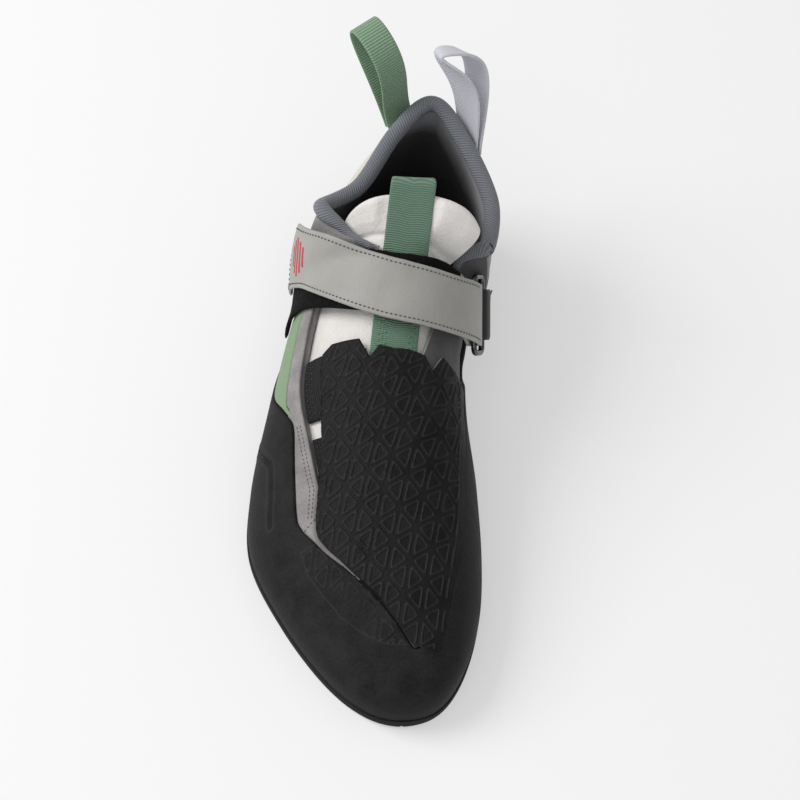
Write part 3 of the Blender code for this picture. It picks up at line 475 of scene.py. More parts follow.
STRAP_UNDER = (
    # x, y, z
    (-50.0, 172.0, 36.0),
    (-48.0, 170.0, 54.0),
    (-34.0, 161.0, 71.5),
    (-6.0, 154.5, 77.0),
    (10.0, 155.0, 73.0),
    (23.0, 158.0, 55.0),
)
STRAP_TOP = (
    # x, y, z
    (23.0, 158.0, 55.0),
    (10.0, 151.0, 70.5),
    (-5.0, 151.5, 75.5),
    (-25.0, 159.5, 74.5),
    (-41.0, 173.5, 66.0),
    (-44.5, 183.0, 54.0),
    (-42.0, 191.0, 38.0),
)
STRAP_ACROSS = np.array([0.10, 0.78, 0.62])
STRAP_PULLS = 2
UNDER_OFFSET = GAP + OVERLAY + 0.6 + STRAP_THICKNESS / 2
TOP_OFFSET = UNDER_OFFSET + STRAP_THICKNESS + 0.4
RING_OFFSET = UNDER_OFFSET + STRAP_THICKNESS / 2 + GAP + RING_WIRE / 2
RING_CLEAR = 0.9
FOLD_OFFSET = RING_OFFSET + RING_WIRE / 2 + 2 * GAP + STRAP_THICKNESS / 2
SAMPLE_TURNS, SAMPLE_RISES = np.meshgrid(
    np.arange(0.0, TURNS, 0.05), np.linspace(0.0, 1.0, 61), indexing="ij"
)
SAMPLES = last(SAMPLE_TURNS, SAMPLE_RISES)


def nearest(point):
    """Address of the place on the last nearest to a point."""
    distance = np.sum((SAMPLES - point) ** 2, axis=-1)
    i = np.unravel_index(np.argmin(distance), distance.shape)
    turn, rise = SAMPLE_TURNS[i], SAMPLE_RISES[i]
    for reach_turn, reach_rise in ((0.05, 0.017), (0.008, 0.003)):
        steps = np.linspace(-1.0, 1.0, 13)
        turns, rises = np.meshgrid(turn + steps * reach_turn, rise + steps * reach_rise, indexing="ij")
        rises = np.clip(rises, 0.0, 1.0)
        distance = np.sum((last(turns, rises) - point) ** 2, axis=-1)
        i = np.unravel_index(np.argmin(distance), distance.shape)
        turn, rise = turns[i], rises[i]
    return turn, rise


def along_points(table, count):
    points = np.array(table)
    run = run_lengths(points, 0)
    places = np.linspace(0.0, run[-1], count)
    return np.stack([through(run, points[:, c], places) for c in range(3)], axis=1)


def relaxed(grid, offsets):
    """Evens a strip out along its length, as a pull would, and keeps it off what it lies on."""
    for _ in range(STRAP_PULLS):
        grid = grid.copy()
        grid[1:-1] = (grid[:-2] + 2 * grid[1:-1] + grid[2:]) / 4
    for row, offset in zip(grid, offsets):
        for point in row:
            place_on = nearest(point)
            normal = outward(*place_on)
            height = np.dot(point - last(*place_on), normal)
            point += normal * max(offset - height, 0.0)
    return grid


def straightened(row, share, across):
    """A row across the strap, drawn towards the straight line of the ring's bar."""
    line = row[0] + (row[-1] - row[0]) * (across[:, None] + 1) / 2
    line += (row - line).mean(axis=0)
    return row * (1 - share) + line * share


RING_LONG, RING_SHORT, RING_CORNER = 30.0, 9.5, 2.6
HEEL_LOOPS = (
    # name, turn, foot offset, top point, width direction, half width, half opening, bow, twist
    ("heel_loop_lateral", 12.40, 3.5, (-24.0, 249.0, 119.0), (0.76, 0.61, 0.25), 6.0, 7.5, -4.0, 0),
    ("heel_loop_medial", 14.1, 3.1, (7.0, 246.5, 108.5), (-0.35, 0.90, 0.20), 6.0, 5.4, 7.2, -45),
)
LOOP_BELOW_RIM = 0.90
LOOP_FULL = 1.55


# Meshes


def link(obj):
    bpy.context.scene.collection.objects.link(obj)
    return obj


def place(points):
    """From the tables' millimetres to the part's metres."""
    moved = np.asarray(points, float).reshape(-1, 3) - (0.0, ORIGIN_BEHIND_TOE, 0.0)
    return moved * MM


def solid(name, points, faces, uv, materials, which=None, ridge=None):
    """A closed mesh with a map in millimetres.

    which gives each face its material, ridge each point the height of a raised line.
    """
    mesh = bpy.data.meshes.new(name)
    mesh.from_pydata(place(points).tolist(), [], faces)
    corners = np.empty(len(mesh.loops), np.int32)
    mesh.loops.foreach_get("vertex_index", corners)
    layer = mesh.uv_layers.new(name="mm")
    layer.data.foreach_set("uv", np.asarray(uv, np.float32)[corners].ravel())
    if which is not None:
        mesh.polygons.foreach_set("material_index", np.asarray(which, np.int32))
    if ridge is not None:
        heights = mesh.attributes.new("ridge", "FLOAT", "POINT")
        heights.data.foreach_set("value", np.asarray(ridge, np.float32))
    body = bmesh.new()
    body.from_mesh(mesh)
    bmesh.ops.remove_doubles(body, verts=body.verts, dist=0.00001)
    bmesh.ops.dissolve_degenerate(body, edges=body.edges, dist=0.000001)
    bmesh.ops.recalc_face_normals(body, faces=body.faces)
    body.to_mesh(mesh)
    body.free()
    mesh.shade_smooth()
    mesh.set_sharp_from_angle(angle=math.radians(55))
    for material in materials:
        mesh.materials.append(material)
    return link(bpy.data.objects.new(name, mesh))


def grid_faces(rows, cols, closed=False):
    i, j = np.meshgrid(np.arange(rows if closed else rows - 1), np.arange(cols - 1), indexing="ij")
    k = (i + 1) % rows
    return np.stack([i * cols + j, k * cols + j, k * cols + j + 1, i * cols + j + 1], -1).reshape(-1, 4)


def run_lengths(grid, axis):
    """Length along the grid's lines in one direction, in millimetres."""
    steps = np.linalg.norm(np.diff(grid, axis=axis), axis=-1)
    start = np.zeros_like(np.take(steps, [0], axis))
    return np.concatenate([start, np.cumsum(steps, axis)], axis)


def part_way(wanted, known, points):
    """Points between the points of a line, at wanted places on its known ones."""
    return np.stack([np.interp(wanted, known, points[:, c]) for c in range(3)], -1)


def edge_profile(grid, reach, share):
    """1 inside, falling to 1 - share at the border within a reach in millimetres."""
    distance = np.full(grid.shape[:2], 1e9)
    for axis in (0, 1):
        run = run_lengths(grid, axis)
        distance = np.minimum(distance, np.minimum(run, run.max(axis, keepdims=True) - run))
    near = 1 - np.clip(distance / reach, 0.0, 1.0)
    return 1 - share * (1 - np.sqrt(1 - near**2))


def edged(length, step):
    """Shares from 0 to 1 along a length, close together at both ends for a rounded rim."""
    ends = np.array((0.0, 0.25, 0.6, 1.1)) / length
    middle = np.linspace(1.8 / length, 1 - 1.8 / length, max(int(length / step), 3))
    return np.concatenate([ends, middle, 1 - ends[::-1]])


def shell(name, outer, inner, materials, which=None, rim=0, ridge=None):
    """Closed solid between two grids.

    which gives the materials of both sides, rim those of the edge.
    """
    rows, cols = outer.shape[:2]
    count = rows * cols
    top = grid_faces(rows, cols)
    lines = [np.arange(rows) * cols, np.arange(rows) * cols + cols - 1]
    lines += [np.arange(cols), np.arange(cols) + (rows - 1) * cols]
    walls = [np.stack([l[:-1], l[1:], l[1:] + count, l[:-1] + count], -1) for l in lines]
    faces = np.concatenate([top, top[:, ::-1] + count, *walls])
    index = np.zeros(len(faces), int)
    index[2 * len(top) :] = rim
    if which is not None:
        index[: 2 * len(top)] = np.ravel(which)
    elif len(materials) > 1:
        index[len(top) : 2 * len(top)] = 1
    uv = np.stack([run_lengths(outer, 0), run_lengths(outer, 1)], -1).reshape(-1, 2)
    points = np.concatenate([outer.reshape(-1, 3), inner.reshape(-1, 3)])
    if ridge is not None:
        ridge = np.concatenate([np.ravel(ridge), np.zeros(count)])
    return solid(name, points, faces.tolist(), np.concatenate([uv, uv]), materials, index, ridge)


def above_sole(points):
    sole_top = sole_height(points[..., 1]) + SOLE_THICKNESS + SOLE_CLEAR
    points[..., 2] = np.maximum(points[..., 2], sole_top)
    return points


def plate(name, turn, rise, low, high, materials, reach, share, rounded=1.0, rim=0, ridge=None):
    """A stretch of the last's skin between two offsets, with a rounded rim."""
    inner = above_sole(skin(turn, rise, np.broadcast_to(low, turn.shape)))
    outer = above_sole(skin(turn, rise, np.broadcast_to(high, turn.shape)))
    fall = (1 - edge_profile(outer, reach, share)) * rounded
    face = inner + (outer - inner) * (1 - fall)[..., None]
    return shell(name, face, inner, materials, None, rim, ridge)


def facing(middle):
    """Unit normals of a grid of points."""
    return unit(np.cross(np.gradient(middle, axis=0), np.gradient(middle, axis=1)))


def sheet(name, middle, thickness, materials, which=None, share=0.6, rim=0):
    """A strip of even thickness with rounded edges about a grid of middle points."""
    half = facing(middle) * thickness / 2 * edge_profile(middle, thickness * 0.6, share)[..., None]
    return shell(name, middle + half, middle - half, materials, which, rim)


def tube(name, centres, radius, material, closed, sides):
    """A round bar along a path; closed makes it a ring."""
    count = len(centres)
    if closed:
        along = np.roll(centres, -1, axis=0) - np.roll(centres, 1, axis=0)
    else:
        along = np.gradient(centres, axis=0)
    along = unit(along)
    side = unit(np.cross(along, (0.0, 0.0, 1.0)))
    lift = np.cross(side, along)
    radius = np.broadcast_to(radius, (count,))[:, None]
    angles = np.linspace(0, 2 * math.pi, sides, endpoint=False)
    rings = np.stack([centres + radius * (math.cos(a) * side + math.sin(a) * lift) for a in angles], 1)
    length = run_lengths(centres, 0)
    uv = np.stack(np.broadcast_arrays(length[:, None], angles * np.mean(radius)), -1).reshape(-1, 2)
    i, j = np.meshgrid(np.arange(count if closed else count - 1), np.arange(sides), indexing="ij")
    k, l = (i + 1) % count, (j + 1) % sides
    quads = np.stack([i * sides + j, k * sides + j, k * sides + l, i * sides + l], -1)
    faces = quads.reshape(-1, 4).tolist()
    if not closed:
        faces.append(list(range(sides)))
        faces.append([(count - 1) * sides + j for j in range(sides)])
    return solid(name, rings, faces, uv, [material])


def worn(obj, slot, *nodes):
    """The piece rides on the shoe and stands for its CAD nodes; its slot is not used."""
    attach(obj, "root")
    if nodes:
        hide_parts(*nodes)
    return obj


# Stitches


def stitch_tree():
    """Threads along a line of points: pitch, stitch length and thickness are inputs."""
    tree = bpy.data.node_groups.new("stitches", "GeometryNodeTree")
    tree.interface.new_socket("Geometry", in_out="INPUT", socket_type="NodeSocketGeometry")
    for name in ("Pitch", "Length", "Thickness"):
        tree.interface.new_socket(name, in_out="INPUT", socket_type="NodeSocketFloat")
    tree.interface.new_socket("Thread", in_out="INPUT", socket_type="NodeSocketMaterial")
    tree.interface.new_socket("Geometry", in_out="OUTPUT", socket_type="NodeSocketGeometry")
    given = node(tree, "NodeGroupInput")
    line = node(tree, "GeometryNodeMeshToCurve", {"Mesh": given.outputs["Geometry"]})
    even = node(
        tree,
        "GeometryNodeResampleCurve",
        {"Curve": line.outputs["Curve"], "Length": given.outputs["Pitch"]},
        mode="LENGTH",
    )
    bead = node(tree, "GeometryNodeMeshUVSphere", {"Segments": 6, "Rings": 5, "Radius": 0.5})
    tangent = node(tree, "GeometryNodeInputTangent")
    turned = node(
        tree, "FunctionNodeAlignRotationToVector", {"Vector": tangent.outputs["Tangent"]}, axis="X"
    )
    size = node(
        tree,
        "ShaderNodeCombineXYZ",
        {
            "X": given.outputs["Length"],
            "Y": given.outputs["Thickness"],
            "Z": given.outputs["Thickness"],
        },
    )
    placed = node(
        tree,
        "GeometryNodeInstanceOnPoints",
        {
            "Points": even.outputs["Curve"],
            "Instance": bead.outputs["Mesh"],
            "Rotation": turned.outputs["Rotation"],
            "Scale": size.outputs["Vector"],
        },
    )
    real = node(tree, "GeometryNodeRealizeInstances", {"Geometry": placed.outputs["Instances"]})
    smooth = node(tree, "GeometryNodeSetShadeSmooth", {"Geometry": real.outputs["Geometry"]})
    coloured = node(
        tree,
        "GeometryNodeSetMaterial",
        {"Geometry": smooth.outputs["Geometry"], "Material": given.outputs["Thread"]},
    )
    node(tree, "NodeGroupOutput", {"Geometry": coloured.outputs["Geometry"]})
    return tree


def node(tree, kind, links=None, **settings):
    """Adds a node with its settings; a link's value is a socket or a constant."""
    made = tree.nodes.new(kind)
    for key, value in settings.items():
        setattr(made, key, value)
    for socket, value in (links or {}).items():
        if isinstance(value, bpy.types.NodeSocket):
            tree.links.new(value, made.inputs[socket])
        else:
            made.inputs[socket].default_value = value
    return made


def sew(name, lines, pitch, length, thickness, thread, slot):
    """Rows of stitches along lines of points on the surface, all sizes in millimetres."""
    points, edges = [], []
    for line in lines:
        start = len(points)
        points.extend(place(line).tolist())
        edges.extend((i, i + 1) for i in range(start, len(points) - 1))
    mesh = bpy.data.meshes.new(name + "_line")
    mesh.from_pydata(points, edges, [])
    carrier = link(bpy.data.objects.new(name + "_line", mesh))
    modifier = carrier.modifiers.new("stitches", "NODES")
    modifier.node_group = STITCHES
    values = {"Pitch": pitch * MM, "Length": length * MM, "Thickness": thickness * MM}
    for item in STITCHES.interface.items_tree:
        if item.in_out == "INPUT" and item.name in values:
            modifier[item.identifier] = values[item.name]
        if item.in_out == "INPUT" and item.name == "Thread":
            modifier[item.identifier] = thread
    made = carrier.evaluated_get(bpy.context.evaluated_depsgraph_get())
    sewn = bpy.data.objects.new(name, bpy.data.meshes.new_from_object(made))
    bpy.data.objects.remove(carrier)
    return worn(link(sewn), slot)


def zigzag(line, way, reach, pitch):
    """Short lines that swing from side to side of a longer one."""
    length = run_lengths(line, 0)
    count = max(int(length[-1] / pitch), 2)
    at = np.linspace(0.0, length[-1], count)
    spot, side = part_way(at, length, line), part_way(at, length, way)
    swing = np.where(np.arange(count) % 2, 1.0, -1.0)[:, None] * reach
    swung = spot + side * swing
    return np.repeat(swung, 2, axis=0)[1:-1].reshape(-1, 2, 3)


# Finishes

# millimetres in a metre, and the size of the strap's pebble in millimetres
METRE, PEBBLE = 1000.0, 1.2
FIBRE = 0.4
# heights of the raised lines over which the painted highlight comes in, and its greatest share
RIDGE_FROM, RIDGE_TO, RIDGE_HIGHLIGHT_SHARE = 0.12, 0.40, 0.42
# the lining's colour by height and by side: painted shade deeper in the shoe, less of it towards the
# medial side
LINING_MEDIAL = {"From Min": 0.008, "From Max": 0.022, "To Max": 0.030}
LINING_DEPTH = {"From Min": 0.056, "From Max": 0.086}
LINING_COLOURS_WITH_SHADE = (0.15, "#060607"), (0.45, "#232325"), (0.70, "#88888c"), (1.0, "#a4a4a8")


def linear(code):
    """An sRGB hex colour as the linear values that a shader takes."""
    parts = [int(code[i : i + 2], 16) / 255 for i in (1, 3, 5)]
    values = [p / 12.92 if p <= 0.04045 else ((p + 0.055) / 1.055) ** 2.4 for p in parts]
    return (*values, 1.0)


def shader(name, **constants):
    """A material and its surface shader; constants go on the shader's own sockets."""
    made = bpy.data.materials.new(name)
    made.use_nodes = True
    surface = made.node_tree.nodes["Principled BSDF"]
    for key, value in constants.items():
        surface.inputs[key.replace("_", " ")].default_value = value
    return made, made.node_tree, surface


def dress(tree, surface, colour=None, roughness=None, height=None, depth=0.0003, strength=1.0):
    """Links a colour, a roughness and a height in metres to the surface."""
    if colour is not None:
        tree.links.new(colour, surface.inputs["Base Color"])
    if roughness is not None:
        tree.links.new(roughness, surface.inputs["Roughness"])
    if height is not None:
        bump = node(tree, "ShaderNodeBump", {"Height": height, "Distance": depth, "Strength": strength})
        tree.links.new(bump.outputs["Normal"], surface.inputs["Normal"])


def steps(tree, factor, *stops):
    """Colours by a factor: stops are (place, hex)."""
    ramp = node(tree, "ShaderNodeValToRGB", {"Fac": factor})
    marks = ramp.color_ramp.elements
    while len(marks) < len(stops):
        marks.new(1.0)
    for mark, (spot, code) in zip(marks, stops):
        mark.position, mark.color = spot, linear(code)
    return ramp.outputs["Color"]


def speckle(tree, where, size_mm, per_unit, detail):
    """Noise with blotches of a real size; per_unit is the millimetres in one unit of where."""
    links = {"Vector": where, "Scale": per_unit / size_mm, "Detail": detail}
    return node(tree, "ShaderNodeTexNoise", links).outputs["Fac"]


def add_heights(tree, first, second, share):
    """Two heights together, the second one weighed."""
    links = {0: second, 1: share, 2: first}
    return node(tree, "ShaderNodeMath", links, operation="MULTIPLY_ADD").outputs[0]


def climbing_rubber(name, plain, dusty, gloss):
    """Moulded sticky rubber: near black and matt, chalky where hands and rock have worn it, with a
    painted highlight in paler grey along the raised lines of its pattern.
    """
    made, tree, surface = shader(name, Roughness=gloss, Specular_IOR_Level=0.12)
    where = node(tree, "ShaderNodeTexCoord").outputs["Object"]
    dust = speckle(tree, where, 9.0, METRE, 8.0)
    grit = speckle(tree, where, 0.9, METRE, 2.0)
    both = add_heights(tree, dust, grit, 0.6)
    colour = steps(tree, both, (0.55, plain), (1.0, dusty))
    ridge = node(tree, "ShaderNodeAttribute", attribute_name="ridge").outputs["Fac"]
    limits = {"From Min": RIDGE_FROM, "From Max": RIDGE_TO, "To Max": RIDGE_HIGHLIGHT_SHARE}
    raised = node(tree, "ShaderNodeMapRange", {"Value": ridge, **limits})
    # raised lines painted paler grey: a painted highlight along them
    ridge_wear_and_highlight = node(
        tree,
        "ShaderNodeMix",
        {"Factor": raised.outputs["Result"], 6: colour, 7: linear(PAINTED_RIDGE_HIGHLIGHT)},
        data_type="RGBA",
    )
    limits = {"From Min": 0.5, "From Max": 1.1, "To Min": gloss - 0.10, "To Max": gloss + 0.18}
    rough = node(tree, "ShaderNodeMapRange", {"Value": both, **limits})
    dress(tree, surface, ridge_wear_and_highlight.outputs[2], rough.outputs["Result"], grit, 0.0004, 0.8)
    return made


def napped(name, low, high, size_mm, depth, roughness, sheen):
    """Brushed fibre surface: soft blotches where the nap lies over, and a fine felted grain."""
    made, tree, surface = shader(name, Roughness=roughness, Sheen_Weight=sheen)
    where = node(tree, "ShaderNodeTexCoord").outputs["Object"]
    lie = speckle(tree, where, 9.0, METRE, 4.0)
    grain = speckle(tree, where, size_mm, METRE, 3.0)
    colour = steps(tree, add_heights(tree, lie, grain, 0.5), (0.50, low), (1.0, high))
    dress(tree, surface, colour, None, grain, depth, 0.8)
    return made


def ribbed(name, low, high, pitch, slant, depth, roughness, sheen=0.0):
    """Woven or knitted ribs across the strip; pitch in millimetres, drawn coarse enough to show."""
    made, tree, surface = shader(name, Roughness=roughness, Sheen_Weight=sheen)
    flat = node(tree, "ShaderNodeUVMap", uv_map="mm").outputs["UV"]
    turned = node(tree, "ShaderNodeMapping", {"Vector": flat, "Rotation": (0.0, 0.0, slant)})
    ribs = {"Scale": math.pi / (10.0 * pitch), "Distortion": 0.6, "Detail": 1.0}
    waves = node(tree, "ShaderNodeTexWave", {"Vector": turned.outputs["Vector"], **ribs}).outputs["Fac"]
    fuzz = speckle(tree, flat, 0.9, 1.0, 2.0)
    height = add_heights(tree, waves, fuzz, FIBRE)
    colour = steps(tree, height, (0.10, low), (0.95, high))
    dress(tree, surface, colour, None, height, depth, 0.9)
    return made


def collar_lining():
    """Grey knit round the collar, painted darker towards black deeper in the shoe for the shade inside
    it, and less so towards the medial side, where the lamp reaches in.
    """
    made, tree, surface = shader("collar_lining_knit", Roughness=0.9, Sheen_Weight=0.2)
    where = node(tree, "ShaderNodeTexCoord").outputs["Object"]
    height = node(tree, "ShaderNodeSeparateXYZ", {"Vector": where}).outputs["Z"]
    across = node(tree, "ShaderNodeSeparateXYZ", {"Vector": where}).outputs["X"]
    medial = node(tree, "ShaderNodeMapRange", {"Value": across, **LINING_MEDIAL}).outputs["Result"]
    raised = node(tree, "ShaderNodeMath", {0: height, 1: medial}, operation="ADD").outputs[0]
    share = node(tree, "ShaderNodeMapRange", {"Value": raised, **LINING_DEPTH}).outputs["Result"]
    weave = speckle(tree, where, 1.0, METRE, 2.0)
    # height, raised on the medial side, sets the painted shade; the noise adds worn spots
    painted_shade_and_worn_spots = add_heights(tree, share, speckle(tree, where, 5.0, METRE, 5.0), 0.12)
    colour = steps(tree, painted_shade_and_worn_spots, *LINING_COLOURS_WITH_SHADE)
    dress(tree, surface, colour, None, weave, 0.0003, 0.8)
    return made


def padded_cloth():
    """Off-white knitted cloth over foam: matt, with a short loop pile."""
    made, tree, surface = shader("tongue_knit_cloth", Roughness=0.92, Sheen_Weight=0.25)
    where = node(tree, "ShaderNodeTexCoord").outputs["Object"]
    loops = speckle(tree, where, 1.1, METRE, 3.0)
    soft = speckle(tree, where, 16.0, METRE, 3.0)
    colour = steps(tree, add_heights(tree, soft, loops, 0.4), (0.45, "#dedad6"), (0.9, "#f0edea"))
    dress(tree, surface, colour, None, loops, 0.0004, 0.7)
    return made


def hook_pile():
    """Black loop pile for the hook-and-loop closure: thick fuzz that swallows light."""
    made, tree, surface = shader("black_loop_pile", Roughness=0.95, Specular_IOR_Level=0.15)
    where = node(tree, "ShaderNodeTexCoord").outputs["Object"]
    fuzz = speckle(tree, where, 1.3, METRE, 5.0)
    colour = steps(tree, fuzz, (0.35, "#070707"), (0.75, "#1a191a"))
    dress(tree, surface, colour, None, fuzz, 0.0012, 1.0)
    return made


def strap_skin(name, low, high):
    """Coated synthetic leather: fine pebble, half matt."""
    made, tree, surface = shader(name, Roughness=0.55)
    where = node(tree, "ShaderNodeTexCoord").outputs["Object"]
    pebble = node(
        tree, "ShaderNodeTexVoronoi", {"Vector": where, "Scale": METRE / PEBBLE}, feature="SMOOTH_F1"
    ).outputs["Distance"]
    cloud = speckle(tree, where, 18.0, METRE, 4.0)
    colour = steps(tree, cloud, (0.3, low), (0.7, high))
    dress(tree, surface, colour, None, pebble, 0.00018, 0.5)
    return made


def polished_wire():
    """Drawn steel wire with a bright finish and fine rub marks."""
    made, tree, surface = shader("polished_steel_wire", Metallic=1.0)
    surface.inputs["Base Color"].default_value = linear("#5a5a5e")
    where = node(tree, "ShaderNodeTexCoord").outputs["Object"]
    rub = speckle(tree, where, 2.0, METRE, 4.0)
    rough = node(tree, "ShaderNodeMapRange", {"Value": rub, "To Min": 0.12, "To Max": 0.28})
    dress(tree, surface, None, rough.outputs["Result"])
    return made


def thread(name, low, high):
    """Twisted polyester thread with a slight shine."""
    made, tree, surface = shader(name, Roughness=0.6)
    where = node(tree, "ShaderNodeTexCoord").outputs["Object"]
    twist = speckle(tree, where, 0.8, METRE, 1.0)
    dress(tree, surface, steps(tree, twist, (0.3, low), (0.7, high)))
    return made


# paler grey painted on the raised lines of the moulded pattern: a painted highlight
PAINTED_RIDGE_HIGHLIGHT = "#454546"
RUBBER_BLACK = climbing_rubber("climbing_rubber", "#171617", "#2c2b2b", 0.60)
RUBBER_EMBOSSED = climbing_rubber("moulded_rubber", "#131315", "#242324", 0.48)
# name, low and high colour, grain in millimetres, its depth in metres, roughness, sheen
MICROFIBRE = napped("grey_microfibre", "#7c7a7a", "#949190", 1.2, 0.0002, 0.85, 0.2)
# darker copy of the grey microfibre: painted shade for the medial side, which is turned away from the
# lamp
MICROFIBRE_PAINTED_SHADE = napped("microfibre_painted_shade", "#464546", "#575556", 1.2, 0.0002, 0.85, 0.1)
SUEDE = napped("grey_suede", "#7d7a7a", "#9c9796", 1.3, 0.0004, 0.95, 0.3)
# darker copy of the suede for the cut edge and underside: painted shade along the edge
SUEDE_EDGE_PAINTED_SHADE = napped("suede_edge_painted_shade", "#5c5959", "#716d6c", 1.3, 0.0004, 0.95, 0.2)
BACKING = napped("patch_backing_cloth", "#5f5a55", "#7a746e", 1.2, 0.0002, 0.9, 0.1)
CREAM = napped("cream_microfibre", "#c9c5ba", "#e0dcd0", 1.2, 0.0002, 0.85, 0.2)
FELT = napped("black_felt", "#141416", "#242428", 1.5, 0.0005, 0.95, 0.3)
# name, low and high colour, rib pitch in millimetres, slant, depth in metres, roughness, sheen
PANEL_GREEN = ribbed("coated_green_fabric", "#7d9575", "#859b7c", 1.2, 0.6, 0.00006, 0.75)
KNIT = ribbed("ribbed_grey_knit", "#63666c", "#7e8188", 1.0, 0.5, 0.0003, 0.9, 0.2)
GROSGRAIN = ribbed("green_grosgrain", "#587560", "#769580", 0.9, 0.0, 0.0003, 0.8)
LOOP_GREEN = ribbed("light_green_grosgrain", "#6b876d", "#90ae91", 1.1, 0.0, 0.0003, 0.8)
TAPE = ribbed("white_woven_tape", "#c9c9d2", "#d6d6de", 1.0, 0.0, 0.0001, 0.6)
ELASTIC = ribbed("black_elastic_webbing", "#0b0b0c", "#1b1b1c", 1.0, math.pi / 2, 0.0004, 0.8)
LINING = collar_lining()
TONGUE_CLOTH = padded_cloth()
PILE = hook_pile()
STRAP_LEATHER = strap_skin("strap_synthetic_leather", "#999894", "#a5a49f")
TAB_LEATHER = strap_skin("dark_synthetic_leather", "#1a191a", "#242324")
PRINT_RED = strap_skin("red_transfer_film", "#b02c3a", "#bb3542")
STEEL = polished_wire()
THREAD_GREY = thread("grey_thread", "#524e4c", "#6b6663")
THREAD_DARK = thread("dark_thread", "#454442", "#5c5b58")
THREAD_GREEN = thread("green_thread", "#5a7a5f", "#7d9f82")
THREAD_BLACK = thread("black_thread", "#1f1f20", "#39393a")
STITCHES = stitch_tree()

# Upper, sole and rubber

EMBOSS_ACROSS, EMBOSS_ALONG = 7.1, 13.8
EMBOSS_INSET, EMBOSS_WIDTH, EMBOSS_HEIGHT, EMBOSS_ROUND = 1.0, 0.27, 0.40, 2.1
EMBOSS_TURN, EMBOSS_LEAN = math.radians(6.0), math.tan(math.radians(11.0))
RAND_GAP, TOE_COVER = 0.010, 0.965
# start, full, fading and end along the ribs
BESIDE_PATCH, EMBOSSED_RAND = (1.6, 2.2, 3.35, 3.75), (2.15, 2.25, 3.76, 3.82)
EMBOSS_STRETCH = 1.06
TURN_LENGTH, RISE_LENGTH = 26.0, 58.0
GROOVE_DEPTH, GROOVE_WIDTH = 0.75, 0.62
GROOVE_LIP, LIP_AWAY, LIP_WIDTH = 0.25, 1.5, 0.9
BORDER_HEIGHT, BORDER_WIDTH = 0.3, 0.5
# reach of the rounded rim and the share of the thickness that it takes
RAND_RIM = 1.4, 0.5
PATCH_RIM = 1.2, 0.4
CUP_RIM = 1.4, 0.6
RUBBED_SHARE, RUBBED_WIDTH = 0.8, 6.0
EMBOSS_RUBBED = ((2.75, 0.68), (2.95, 0.62))
RAND_GROOVE = (
    # turn, rise
    (5.508, 0.119),
    (5.237, 0.267),
    (5.003, 0.367),
    (4.777, 0.380),
    (4.497, 0.380),
    (4.155, 0.357),
)
EMBOSS_BORDER = (
    # turn, rise
    (2.166, 0.990),
    (2.295, 0.884),
    (2.401, 0.785),
    (2.575, 0.680),
    (2.810, 0.586),
    (3.147, 0.534),
    (3.483, 0.502),
    (3.738, 0.516),
    (3.800, 0.600),
)


def spread(turn, rise):
    """Places on the forefoot laid flat: across from the ridge and along the shoe."""
    point, top = last(turn, rise), rib_at(turn)[..., 4:7]
    side = np.where(np.mod(turn, TURNS) <= HEEL_RIB, -1.0, 1.0)
    across = side * np.hypot(point[..., 0] - top[..., 0], point[..., 2] - top[..., 2])
    along = point[..., 1] * EMBOSS_STRETCH
    c, s = math.cos(EMBOSS_TURN), math.sin(EMBOSS_TURN)
    return across * c - along * s, across * s + along * c


def triangles(across, along):
    """Moulded outlines of rounded triangles that point left and right by turns."""
    column = (across - along * EMBOSS_LEAN) / EMBOSS_ACROSS
    row = along / EMBOSS_ALONG
    lines = np.stack([column, row - column / 2, -row - column / 2])
    part = lines - np.floor(lines)
    slanted = EMBOSS_ALONG * EMBOSS_ACROSS / math.hypot(EMBOSS_ACROSS, EMBOSS_ALONG / 2)
    tall = np.array((EMBOSS_ACROSS, slanted, slanted)).reshape(3, *[1] * np.ndim(across))
    part = np.where(part.sum(axis=0) < 1.5, part, 1 - part) * tall
    inside = -np.log(np.exp(-EMBOSS_ROUND * part).sum(axis=0)) / EMBOSS_ROUND
    return EMBOSS_HEIGHT * hump(inside - EMBOSS_INSET, EMBOSS_WIDTH)


def hump(distance, width):
    """A rounded ridge: 1 on its line, gone a width or two away."""
    return np.exp(-((distance / width) ** 2))


def line_distance(turn, rise, table):
    """Rough distance in millimetres from a line on the rand."""
    here = np.stack([turn * TURN_LENGTH, rise * RISE_LENGTH], -1)
    spots = np.array(table) * (TURN_LENGTH, RISE_LENGTH)
    found = np.full(turn.shape, 1e9)
    for a, b in zip(spots[:-1], spots[1:]):
        share = np.clip(((here - a) @ (b - a)) / np.dot(b - a, b - a), 0.0, 1.0)
        found = np.minimum(found, np.linalg.norm(here - a - share[..., None] * (b - a), axis=-1))
    return found


